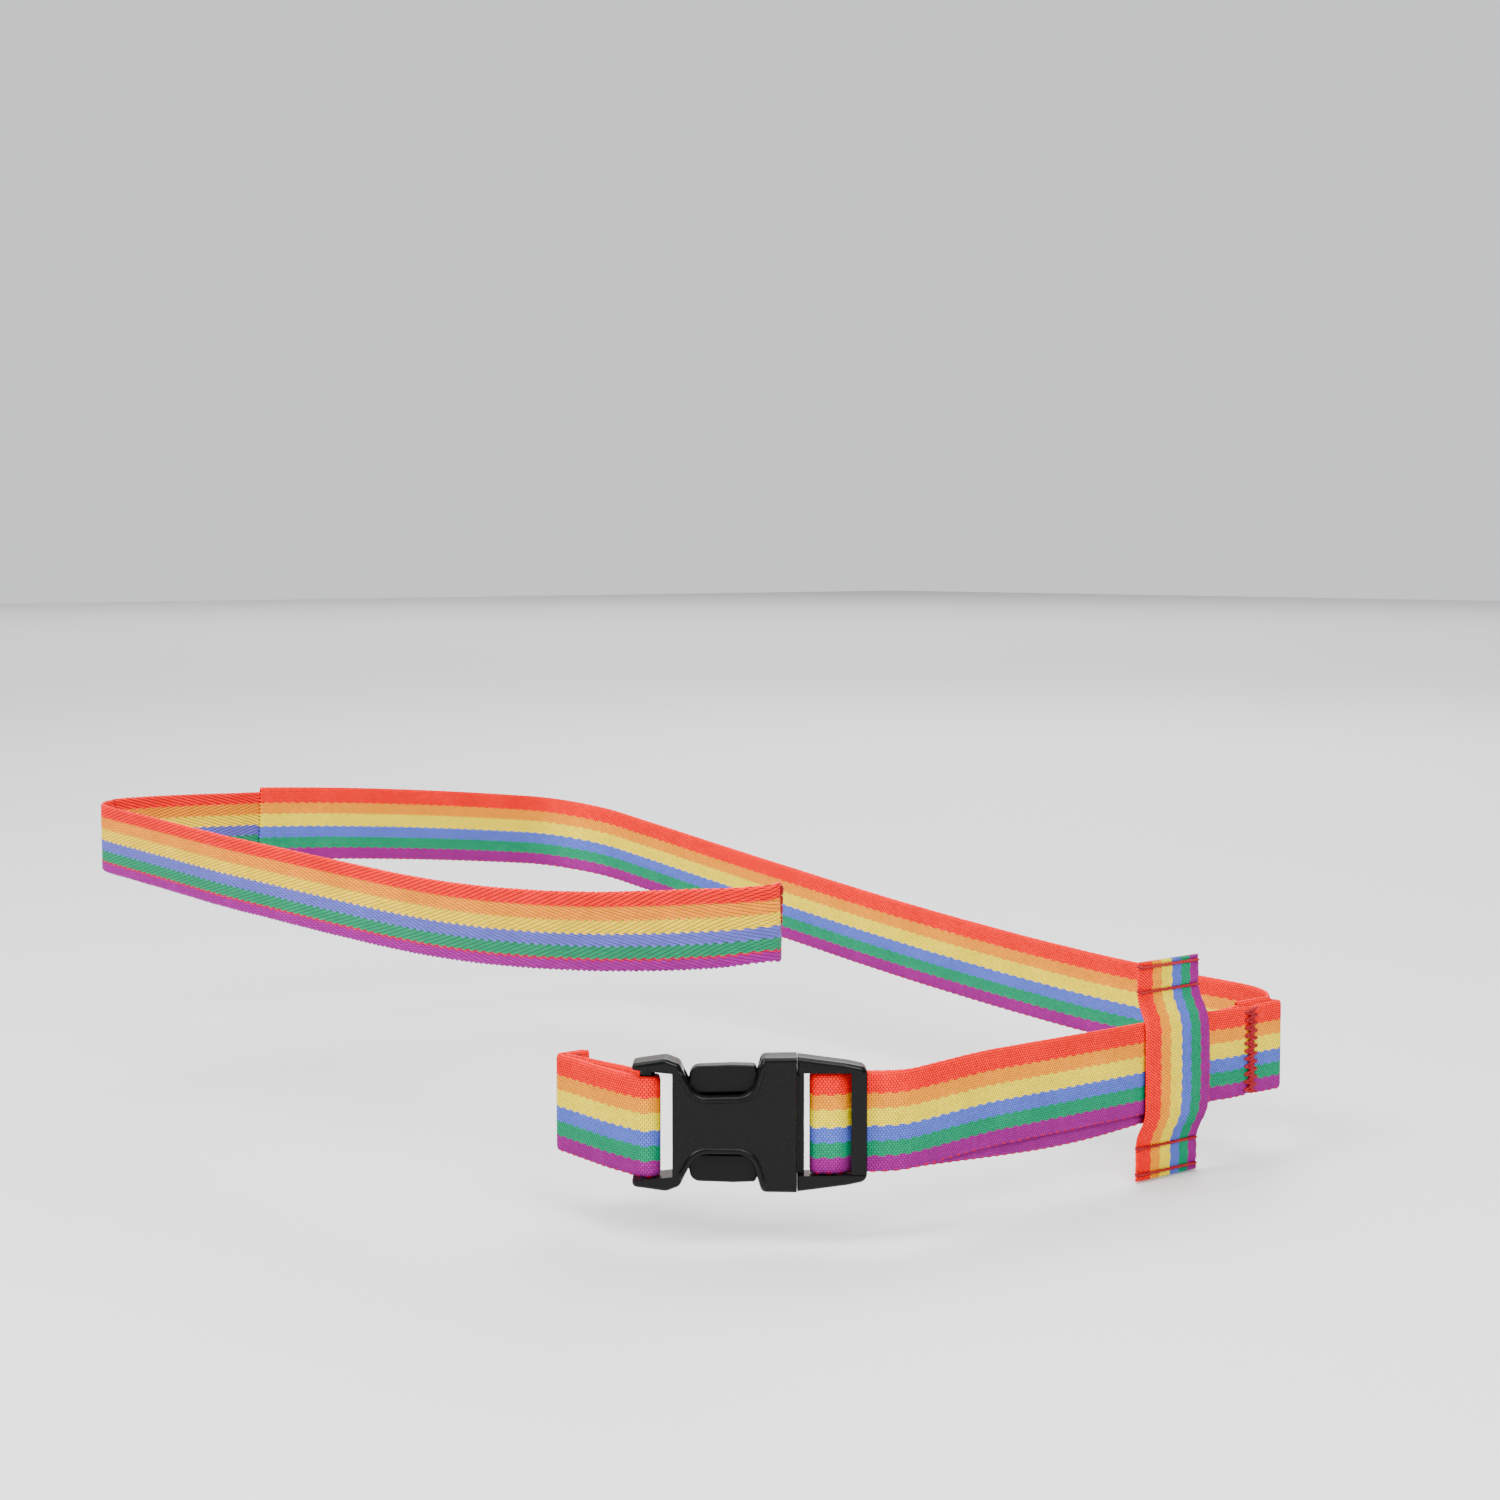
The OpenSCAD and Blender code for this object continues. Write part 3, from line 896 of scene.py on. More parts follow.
@dataclass(frozen=True)
class PlasticFinish:
    """Black moulded plastic with an eroded grain: its size and depth are in millimetres."""

    name: str
    grain: float
    depth: float
    roughness: float
    colour: Colour = (0.003, 0.003, 0.0034)
    shine: float = 0.14

    def material(self, groups: dict[str, bpy.types.NodeTree]) -> bpy.types.Material:
        """Builds the material.

        Args:
            groups: The shared node groups.

        Returns:
            The material.
        """
        material, tree, shader = new_material(self.name)
        grain = tree.node("ShaderNodeGroup", node_tree=groups["grain"])
        tree.feed(grain.inputs["Size"], self.grain)
        scuff = grain.outputs["Scuff"]
        colour = tree.mix(scuff, toned(self.colour), toned(self.colour, 1.15))
        rough = tree.map(scuff, 0, 1, self.roughness, self.roughness + 0.06)
        normal = tree.bump(grain.outputs["Height"], 0.5, self.depth * MM)
        tree.fill(shader, {"Base Color": colour, SHINE: self.shine, "Roughness": rough, "Normal": normal})
        return material


# ---------------------------------------------------------------- sizes of this strap

BELT = Weave(
    bond=Bond.PLAIN,
    width=25.0,
    thickness=1.3,
    stripes=(
        Stripe((1.0, 0.0, 0.0), 8.6),
        Stripe((0.98, 0.31, 0.0), 6.3),
        Stripe((1.0, 0.78, 0.0), 6.3),
        Stripe((0.09, 0.14, 0.6), 6.5),
        Stripe((0.0, 0.27, 0.12), 6.2),
        Stripe((0.28, 0.012, 0.21), 6.1),
    ),
    repeat=0.84,
    samples=2,
    relief=0.085,
    loop_pitch=2.9,
    loop_depth=0.12,
)

BAND = Weave(
    bond=Bond.TWILL,
    width=21.4,
    thickness=1.2,
    stripes=(
        Stripe((1.0, 0.0, 0.0), 12, -1),
        Stripe((0.98, 0.28, 0.0), 11, 1),
        Stripe((1.0, 0.68, 0.0), 11, -1),
        Stripe((0.115, 0.13, 0.54), 10, 1),
        Stripe((0.0, 0.27, 0.12), 10, -1),
        Stripe((0.6, 0.0, 0.07), 2, 1),
        Stripe((0.3, 0.012, 0.24), 8, 1),
    ),
    repeat=3.39,
    samples=5,
    relief=0.11,
    loop_pitch=2.1,
    loop_depth=0.26,
)


BELT_FINISH = WovenFinish(
    name="belt_cloth",
    weave=BELT,
    float_share=0.88,
    # The gap colour and the gap factor below are painted shade between the floats, laid over the weft's
    # colour.
    shaded_weft_colour=(0.06, 0.003, 0.012),
    gap_share=0.2,
    gap_shade=0.3,
    step_repeats=4.0,
    step_yarns=0.28,
    fleck_colour=(0.6, 0.0, 0.03),
)

BAND_FINISH = WovenFinish(
    name="band_cloth",
    weave=BAND,
    float_share=0.74,
    # The gap colour and the gap factor below are painted shade between the floats, laid over the weft's
    # colour.
    shaded_weft_colour=(0.12, 0.003, 0.02),
    gap_share=0.25,
    gap_shade=0.5,
    step_repeats=1.0,
    step_yarns=0.5,
)


@dataclass(frozen=True)
class StrapLayout:
    """Where the strap runs: the case it goes round and the levels of its webbing."""

    left_x: float = -172.0
    right_x: float = 162.5
    front_y: float = -95.0
    rear_y: float = 108.0
    front_bulge: float = 7.0
    rear_corner_r: float = 25.0
    front_corner_r: float = 18.0
    layer_gap: float = 0.15
    seam_in: float = 8.0
    band_left_z: float = 46.4
    band_low_z: float = 40.4
    band_right_z: float = 50.5
    band_lean: float = 21.0
    lap_y: float = -30.0
    lap_len: float = 36.0
    stand_droop: float = 4.1
    tail_end_y: float = 94.0
    hem_len: float = 18.0
    buckle_mid: tuple[float, float] = (140.6, -83.4)
    buckle_turn: float = 48.4
    buckle_z: float = -1.5

    @property
    def seam(self) -> tuple[float, float]:
        """Where the band turns into the front corner's seam."""
        return self.right_x - 4, self.front_y + 4.5

    @property
    def stand_x(self) -> float:
        """The standing layer's middle on the right side."""
        return self.right_x + BELT.thickness / 2

    @property
    def tail_x(self) -> float:
        """The tail's middle on the right side."""
        return self.stand_x + BELT.thickness + self.layer_gap

    @property
    def hem_x(self) -> float:
        """The middle of the tail over its hem."""
        return self.tail_x + BELT.thickness + self.layer_gap

    def at_buckle(self, along: float, inward: float) -> tuple[float, float]:
        """A point in plan, given along and across the buckle."""
        turn = math.radians(self.buckle_turn)
        x = self.buckle_mid[0] + along * math.cos(turn) - inward * math.sin(turn)
        y = self.buckle_mid[1] + along * math.sin(turn) + inward * math.cos(turn)
        return x, y

    def meet(self, inward: float, x: float) -> tuple[float, float]:
        """Where a line out of the plug meets a plane of the right side."""
        turn = math.radians(self.buckle_turn)
        start = self.at_buckle(0, inward)
        return x, start[1] + math.tan(turn) * (x - start[0])

    def band_z(self, x: np.ndarray) -> np.ndarray:
        """Height of the band across the front: it falls evenly, then sweeps up to the seam."""
        fall = (self.band_left_z - self.band_low_z) / self.left_x
        reach = self.seam[0]
        rise = self.band_right_z - self.band_low_z - fall * reach
        return self.band_low_z + fall * x + rise * (np.maximum(0, x) / reach) ** 2

    def belt_z(self, plan: np.ndarray) -> np.ndarray:
        """Height of the belt round the left side and the back."""
        span = self.right_x - self.left_x + self.rear_y - self.front_y
        share = np.clip((plan[:, 0] - self.left_x + plan[:, 1] - self.front_y) / span, 0, 1)
        fall = self.band_left_z - self.band_low_z
        return self.band_left_z * (1 - ease(share)) + fall * share * (1 - share) ** 2

    def stand_z(self, y: np.ndarray) -> np.ndarray:
        """Height of the standing layer, which droops between the plug and the keeper."""
        falling = self.buckle_z - (self.stand_droop + self.buckle_z) * ease((y + 60) / 65)
        rising = -self.stand_droop * (1 - ease((y - 5) / 85))
        return np.where(y < 5, falling, rising)

    def tail_z(self, y: np.ndarray) -> np.ndarray:
        """Height of the tail."""
        return self.buckle_z * (1 - ease((y + 60) / 40))


# ---------------------------------------------------------------- sub-assemblies


def declare(
    piece: bpy.types.Object, body: str, nodes: Sequence[str], material: bpy.types.Material
) -> bpy.types.Object:
    """Gives a finished piece its material and body, hides the CAD nodes that it stands for, and reports it.

    Args:
        piece: The piece.
        body: The body that it rides on.
        nodes: The CAD nodes that it stands for.
        material: Its material.

    Returns:
        The piece.
    """
    dress(piece, material)
    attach(piece, body)
    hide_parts(*nodes)
    report(piece)
    return piece


def dress(piece: bpy.types.Object, material: bpy.types.Material) -> None:
    """Puts one material on a piece."""
    piece.data.materials.clear()
    piece.data.materials.append(material)


def report(piece: bpy.types.Object) -> None:
    """Logs a piece's size and its number of triangles."""
    size = " x ".join(f"{side / MM:.1f}" for side in piece.dimensions)
    triangles = sum(len(face.vertices) - 2 for face in piece.data.polygons)
    log.info("%s: %s mm, %d triangles", piece.name, size, triangles)


@dataclass
class ClothPart:
    """What every sewn sub-assembly has: where it runs, its cloth and its thread."""

    layout: StrapLayout
    cloth: bpy.types.Material
    thread_look: bpy.types.Material
    thread: Thread = field(default_factory=Thread)

    def sew(
        self, name: str, node: str, runs: Sequence[Sequence[Point]], out: Sequence[float]
    ) -> bpy.types.Object:
        """Args:
            name: The piece's name.
            node: The CAD node that it stands for.
            runs: Each run's corners, in millimetres.
            out: The way the webbing's face looks.

        Returns:
            The seam.
        """
        piece = self.thread.lay(name, runs, out)
        return declare(piece, "strap", [node], self.thread_look)


@dataclass
class FrontBand(ClothPart):
    """The herringbone band, from the front corner's seam across the front and round the left corner."""

    lap_margin: float = 2.5
    end_stitch: float = 4.6
    lap_stitch: float = 4.0
    end_shear: float = 8.6
    shear_length: float = 45.0

    def line(self) -> PlanLine:
        """The band's route, as the frame has it."""
        lay = self.layout
        seam_x, seam_y = lay.seam
        half = BAND.thickness / 2
        lap_x = lay.left_x - BELT.thickness - lay.layer_gap - half
        corners = (
            (seam_x - lay.seam_in * 0.7, seam_y + lay.seam_in * 0.7),
            (seam_x, seam_y, BAND.thickness),
            (seam_x - 10, lay.front_y - 2, 20),
            (lay.right_x - 100, lay.front_y - lay.front_bulge, 250),
            (lay.left_x + 100, lay.front_y - lay.front_bulge, 250),
            (lay.left_x - half, lay.front_y - half, lay.front_corner_r),
            (lay.left_x - half, lay.lap_y - 10, 20),
            (lap_x, lay.lap_y - 2, 20),
            (lap_x, lay.lap_y + lay.lap_len),
        )

        def height(plan: np.ndarray, along: np.ndarray) -> np.ndarray:
            """The band's middle at points in plan."""
            return np.where(plan[:, 0] > lay.left_x + 1, lay.band_z(plan[:, 0]), lay.belt_z(plan))

        def lean(plan: np.ndarray) -> np.ndarray:
            """How far its top leans to the front, as a tangent."""
            share = ease((plan[:, 0] + 30) / (seam_x + 30))
            return np.tan(np.radians(lay.band_lean * share))

        return PlanLine(corners, -1, height, lean)

    def band(self) -> bpy.types.Object:
        """Weaves the band."""
        line = self.line()
        lap_start, lap_end = line.length - self.layout.lap_len, line.length
        rows = (lap_start + self.lap_stitch, lap_end - self.lap_stitch)
        seams = [Seam(self.end_stitch, 0.9, 0.16, 0.02), *(Seam(row, 1.0, 0.18) for row in rows)]

        def shear(length: np.ndarray, across: np.ndarray) -> np.ndarray:
            """The corner's seam takes the band in upright, although the band leans."""
            return moved_along(0, self.end_shear * across * ease(1 - length / self.shear_length))

        webbing = Webbing("front_band_twill", BAND, line, seams, ripple=0.16, ripple_length=61.0, extra=shear)
        piece = declare(webbing.build(), "strap", ["front_band"], self.cloth)
        return piece

    def end_seam(self) -> bpy.types.Object:
        """Sews the band's right end, which is turned into the corner."""
        lay = self.layout
        seam_x, seam_y = lay.seam
        lean = math.tan(math.radians(lay.band_lean))
        top = np.array([0, -lean, 1]) / math.hypot(lean, 1)
        face = np.cross(top, [1, -1, 0])
        face /= np.linalg.norm(face)
        middle = np.array([seam_x - lay.seam_in * 0.4, seam_y + lay.seam_in * 0.4, lay.band_right_z])
        middle = middle + face * (BAND.thickness / 2 + 0.1)
        reach = top * (BAND.width / 2 - 1) + np.array([self.end_shear / 2, 0, 0])
        return self.sew("band_end_seam", "band_end_stitching", [[middle - reach, middle + reach]], face)

    def lap_seam(self) -> bpy.types.Object:
        """Sews the band to the belt webbing with a box and a cross."""
        lay = self.layout
        x = lay.left_x - BELT.thickness - lay.layer_gap - BAND.thickness - 0.1
        near, far = lay.lap_y + self.lap_stitch, lay.lap_y + lay.lap_len - self.lap_stitch / 2
        half = BAND.width / 2 - self.lap_margin

        def point(y: float, side: int) -> Point:
            """A corner of the box, on its upper or lower side."""
            return x, y, float(lay.belt_z(np.array([[lay.left_x, y]]))[0]) + side * half

        box = [point(near, 1), point(far, 1), point(far, -1), point(near, -1), point(near, 1)]
        runs = [box, [point(near, 1), point(far, -1)], [point(near, -1), point(far, 1)]]
        return self.sew("lap_seam", "lap_stitching", runs, (-1, 0, 0))

    def build(self) -> None:
        """Makes the band and its two seams."""
        self.band()
        self.end_seam()
        self.lap_seam()


@dataclass
class Belt(ClothPart):
    """The belt webbing: round the back, and along the side through the plug and back as the tail."""

    thread: Thread = field(default_factory=lambda: Thread(stitch=60, dip=0.0))
    join_y: float = 48.0
    under_bar: float = 2.0
    over_bar: float = -1.95
    tail_level: float = 0.5
    zigzag_width: float = 5.2
    zigzag_core: float = 1.8
    zigzag_turns: int = 11
    hem_skew: float = 1.3

    @property
    def hem_seam_y(self) -> float:
        """Where the zigzag crosses the tail."""
        return self.layout.tail_end_y - self.layout.hem_len + 4

    def main(self) -> bpy.types.Object:
        """Weaves the stretch from under the keeper round the back to the lap on the left side."""
        lay = self.layout
        half = BELT.thickness / 2
        corners = (
            (lay.stand_x, self.join_y),
            (lay.stand_x, lay.rear_y + half, lay.rear_corner_r),
            (lay.left_x - half, lay.rear_y + half, lay.rear_corner_r),
            (lay.left_x - half, lay.lap_y),
        )

        def height(plan: np.ndarray, along: np.ndarray) -> np.ndarray:
            """The belt's middle at points in plan."""
            return np.where(plan[:, 0] > lay.right_x - 1, lay.stand_z(plan[:, 1]), lay.belt_z(plan))

        line = PlanLine(corners, 1, height)
        webbing = Webbing("belt_webbing", BELT, line, ripple=0.14, ripple_length=83.0)
        piece = declare(webbing.build(), "strap", ["main_webbing"], self.cloth)
        return piece

    def side_line(self) -> tuple[PlanLine, float]:
        """The side webbing's route.

        Returns:
            The route, and its length where it turns round the plug's middle bar.
        """
        lay = self.layout
        turn_r = (self.under_bar - self.over_bar) / 2
        back = 17.25 - turn_r
        fold_r = (BELT.thickness + lay.layer_gap) / 2
        keeper_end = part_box("keeper")[1].y / MM
        corners = (
            (lay.stand_x, self.join_y),
            (*lay.meet(self.under_bar, lay.stand_x), 14),
            (*lay.at_buckle(back, self.under_bar), turn_r),
            (*lay.at_buckle(back, self.over_bar), turn_r),
            (*lay.at_buckle(21.4, self.over_bar), 2.5),
            (*lay.at_buckle(24.8, self.tail_level), 2),
            (*lay.meet(self.tail_level, lay.tail_x), 15.5),
            (lay.tail_x, keeper_end + 2, 20),
            (lay.hem_x, keeper_end + 9, 20),
            (lay.hem_x, lay.tail_end_y, fold_r),
            (lay.tail_x, lay.tail_end_y, fold_r),
            (lay.tail_x, lay.tail_end_y - lay.hem_len),
        )
        flat_back = np.array(lay.at_buckle(back, 0))
        turn_at = 0.0

        def height(plan: np.ndarray, along: np.ndarray) -> np.ndarray:
            """The middle of either layer."""
            return np.where(along < turn_at, lay.stand_z(plan[:, 1]), lay.tail_z(plan[:, 1]))

        line = PlanLine(corners, 1, height)
        line.blend_span = 0.5
        turn_at = float(line.marks[np.argmin(np.linalg.norm(line.route - flat_back, axis=1))])
        return line, turn_at

    def side(self) -> bpy.types.Object:
        """Weaves the side webbing, which gives way between the plug and the keeper."""
        lay = self.layout
        line, turn_at = self.side_line()
        fold_at = line.length - lay.hem_len
        seam_at = fold_at - (lay.tail_end_y - self.hem_seam_y)

        def skew(along: np.ndarray, across: np.ndarray) -> np.ndarray:
            """The hem's folded end lies a little higher than the tail over it."""
            return moved_along(2, self.hem_skew * ease((along - fold_at) / 6))

        seams = [Seam(seam_at + shift, 1.1, 0.16, 0.022) for shift in (-1.6, 0, 1.6)]
        webbing = Webbing("side_webbing", BELT, line, seams, ripple=0.1, ripple_length=52.0, extra=skew)
        piece = webbing.build()
        dress(piece, self.cloth)
        front = lay.at_buckle(29, 0)
        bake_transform(piece)
        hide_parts("standing_webbing", "adjuster_loop", "tail_webbing", "tail_end")
        report(piece)
        hem = self.hem_seam()
        return piece

    def hem_seam(self) -> bpy.types.Object:
        """Sews the zigzag across the folded end of the tail."""
        lay = self.layout
        x = lay.hem_x + BELT.thickness / 2 + 0.12
        reach = BELT.width / 2 - 0.6
        passes = []
        wide = (self.zigzag_turns, self.zigzag_width, 0.0)
        core = (2 * self.zigzag_turns, self.zigzag_core, 0.2)
        for turns, width, lift in (wide, core):
            sides = [(-1) ** turn * width / 2 for turn in range(2 * turns + 1)]
            heights = np.linspace(-reach, reach, len(sides))
            passes.append([(x + lift, self.hem_seam_y + side, z) for side, z in zip(sides, heights)])
        return self.sew("tail_hem_seam", "tail_hem_stitching", passes, (1, 0, 0))

    def build(self) -> None:
        """Makes both lengths of the belt and the hem's seam."""
        self.main()
        self.side()


@dataclass
class Keeper(ClothPart):
    """The keeper: webbing set upright over the belt, sewn down above and below it."""

    bow: float = 3.5
    twist: float = 1.3
    rows: tuple[tuple[str, float], ...] = (
        ("top_outer", 27.2), ("top_inner", 20.5), ("low_inner", -22.0), ("low_outer", -29.2),
    )
    thread_tail: float = 1.5

    def build(self) -> None:
        """Makes the keeper and its four seams."""
        low, high = (np.array(corner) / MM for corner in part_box("keeper"))
        x = self.layout.right_x + BELT.thickness / 2
        corners = (
            (x, high[2]),
            (x, 18, 5),
            (x + self.bow, 12.6, 7),
            (x + self.bow, -14, 7),
            (x, -19.6, 5),
            (x, low[2]),
        )
        line = BridgeLine(corners, -1, (low[1] + high[1]) / 2)
        line.blend_span = 2.5
        places = [high[2] - z if z > 0 else line.length - (z - low[2]) for _, z in self.rows]
        seams = [Seam(place, 0.8, 0.22, 0.012) for place in places]

        def swell(length: np.ndarray, across: np.ndarray) -> np.ndarray:
            """Its back edge stands off the belt more than its front one."""
            return moved_along(0, self.twist * (0.2 - across) * np.sin(math.pi * length / line.length) ** 2)

        webbing = Webbing("keeper_webbing", BELT, line, seams, ripple=0.08, ripple_length=31.0, extra=swell)
        keeper = declare(webbing.build(), "strap", ["keeper"], self.cloth)
        sewn = [self.seam(name, z, low[1], high[1]) for name, z in self.rows]

    def seam(self, name: str, z: float, front: float, back: float) -> bpy.types.Object:
        """Sews one row across the keeper, with its cut ends poking out at the front edge."""
        x = self.layout.right_x + BELT.thickness + 0.22
        row = [(x, front + 0.3, z), (x, back - 0.3, z)]
        tip = (x + 0.1, front - self.thread_tail, z + 0.7)
        end = [(x, front + 0.9, z), (x + 0.3, front - 0.3, z + 0.15), tip]
        return self.sew(f"keeper_seam_{name}", f"keeper_stitch_{name}", [row, end], (1, 0, 0))


@dataclass
class AnchorTab(ClothPart):
    """The short doubled webbing that ties the socket to a seam in the case's front."""

    seam_x: float = 87.2
    bar_along: float = -25.2
    loop_r: float = 2.65

    def build(self) -> None:
        """Makes the tab and its seam."""
        lay = self.layout
        seam = np.array([self.seam_x, lay.front_y - lay.front_bulge + 1.5])
        bar = np.array(lay.at_buckle(self.bar_along, 0))
        way = (seam - bar) / np.linalg.norm(seam - bar)
        side = np.array([-way[1], way[0]])
        half = (BELT.thickness + lay.layer_gap) / 2
        across, far = side * self.loop_r, bar - way * self.loop_r
        near = bar + way * 14
        corners = (
            tuple(seam + (half, lay.seam_in)),
            (*(seam + (half, half)), 0.8),
            (*(near - across), 12),
            (*(far - across), self.loop_r),
            (*(far + across), self.loop_r),
            (*(near + across), 12),
            (*(seam - (half, half)), 0.8),
            tuple(seam + (-half, lay.seam_in)),
        )
        line = PlanLine(corners, 1, lambda plan, along: np.full(len(plan), lay.buckle_z - 0.7))
        line.blend_span = 0.5
        webbing = Webbing("anchor_webbing_loop", BELT, line, ripple=0.1, ripple_length=37.0)
        piece = declare(webbing.build(), "strap", ["anchor_webbing"], self.cloth)
        x = seam[0] + half + BELT.thickness / 2 + 0.1
        y = seam[1] + lay.seam_in * 0.55
        reach = BELT.width / 2 - 1
        run = [(x, y, lay.buckle_z - reach), (x, y, lay.buckle_z + reach)]
        sewn = self.sew("anchor_end_seam", "anchor_end_stitching", [run], (1, 0, 0))


# ---------------------------------------------------------------- buckle


def full_outline(half: np.ndarray) -> np.ndarray:
    """A whole outline from its upper half, which starts and ends on the middle line."""
    return np.concatenate([half, (half * (1, -1))[-2:0:-1]])


def plate(
    name: str, outline: np.ndarray, half_t: float, rounding: float, crisp_at: float | None = None
) -> bpy.types.Object:
    """Moulds a flat part: an outline given depth, with its outer edges rounded.

    Args:
        name: The part's name.
        outline: Its outline along the buckle and upright, in millimetres.
        half_t: Half its thickness.
        rounding: Radius of its edges.
        crisp_at: The place along the buckle where its edges stay nearly sharp, if there is one.

    Returns:
        The part, in the buckle's own frame.
    """
    part = added(bpy.ops.mesh.primitive_circle_add, vertices=len(outline), fill_type="NGON")
    part.name = name
    face = np.column_stack([outline[:, 0], np.full(len(outline), -half_t), outline[:, 1]])
    place_points(part, face * MM)
    through = {"value": (0, 2 * half_t * MM, 0)}
    edit_all(
        part,
        lambda: bpy.ops.mesh.extrude_region_move(TRANSFORM_OT_translate=through),
        lambda: bpy.ops.mesh.select_all(action="SELECT"),
        lambda: bpy.ops.mesh.normals_make_consistent(inside=False),
    )
    points = points_of(part) / MM
    weights = part.data.attributes.new("bevel_weight_edge", "FLOAT", "EDGE")
    for edge, weight in zip(part.data.edges, weights.data):
        a, b = (points[k] for k in edge.vertices)
        on_face = abs(a[1] - b[1]) < SAME_MM
        crisp = crisp_at is not None and max(abs(a[0] - crisp_at), abs(b[0] - crisp_at)) < SAME_MM
        weight.value = 0 if not on_face else CRISP_SHARE if crisp else 1
    apply_modifier(part, "BEVEL", limit_method="WEIGHT", width=rounding * MM, segments=4)
    return part


def block(low: Sequence[float], high: Sequence[float], flare: float = 0.0) -> bpy.types.Object:
    """A block used to cut or fill.

    Args:
        low: Its lowest corner, in millimetres.
        high: Its highest corner.
        flare: How much higher and lower it reaches at its low end than at its high end.

    Returns:
        The block.
    """
    made = added(bpy.ops.mesh.primitive_cube_add, size=1)
    cube = points_of(made)
    low_corner, high_corner = np.array(low, float), np.array(high, float)
    points = (low_corner + high_corner) / 2 + cube * (high_corner - low_corner)
    points[:, 2] += np.sign(cube[:, 2]) * np.where(cube[:, 0] < 0, flare, 0)
    place_points(made, points * MM)
    return made


def rod(
    centre: Sequence[float], radius: float, length: float, axis: str, round_ends: float = 0.0
) -> bpy.types.Object:
    """A round rod along one axis, in millimetres, used to cut or fill.

    Args:
        centre: Its middle.
        radius: Its radius.
        length: Its length.
        axis: "Y" or "Z".
        round_ends: Radius of its two rims, or 0 for sharp ones.

    Returns:
        The rod.
    """
    add = bpy.ops.mesh.primitive_cylinder_add
    made = added(add, vertices=48, radius=radius * MM, depth=length * MM)
    if round_ends:
        apply_modifier(made, "BEVEL", limit_method="ANGLE", width=round_ends * MM, segments=3)
    turn = Matrix.Rotation(math.radians(90), 4, "X") if axis == "Y" else Matrix.Identity(4)
    made.data.transform(Matrix.Translation([c * MM for c in centre]) @ turn)
    return made


def cut(part: bpy.types.Object, low: Sequence[float], high: Sequence[float], flare: float = 0.0) -> None:
    """Cuts a block out of a part."""
    combine(part, block(low, high, flare), "DIFFERENCE")


def combine(part: bpy.types.Object, tool: bpy.types.Object, operation: str) -> None:
    """Cuts a tool out of a part or fuses it on, and removes the tool."""
    apply_modifier(part, "BOOLEAN", object=tool, operation=operation, solver="EXACT")
    bpy.data.objects.remove(tool)


def bead(points: np.ndarray, level: float, radius: float) -> bpy.types.Object:
    """A round bead laid along an outline on a face.

    Args:
        points: Its line along the buckle and upright, in millimetres.
        level: How far its middle lies across the buckle.
        radius: Its radius.

    Returns:
        The bead, closed at both ends.
    """
    sides, ring_step, reach = 12, 0.4, 0.3
    marks = lengths_along(points)
    length = marks[-1]
    rings = max(sides, round(length / ring_step))
    grid = WovenGrid("bead", rings, sides)
    along = grid.column / rings * length
    run = run_of(points, marks, along, reach)
    size = radius * round_end(along, length, 2.5 * radius)
    angle = FULL_TURN * grid.row / sides
    middle = on_line(points, marks, along)
    x = middle[:, 0] - run[:, 1] * size * np.cos(angle)
    z = middle[:, 1] + run[:, 0] * size * np.cos(angle)
    grid.wrap(np.column_stack([x, level + size * np.sin(angle), z]), (along, grid.row))
    close_up(grid.obj)
    return grid.obj


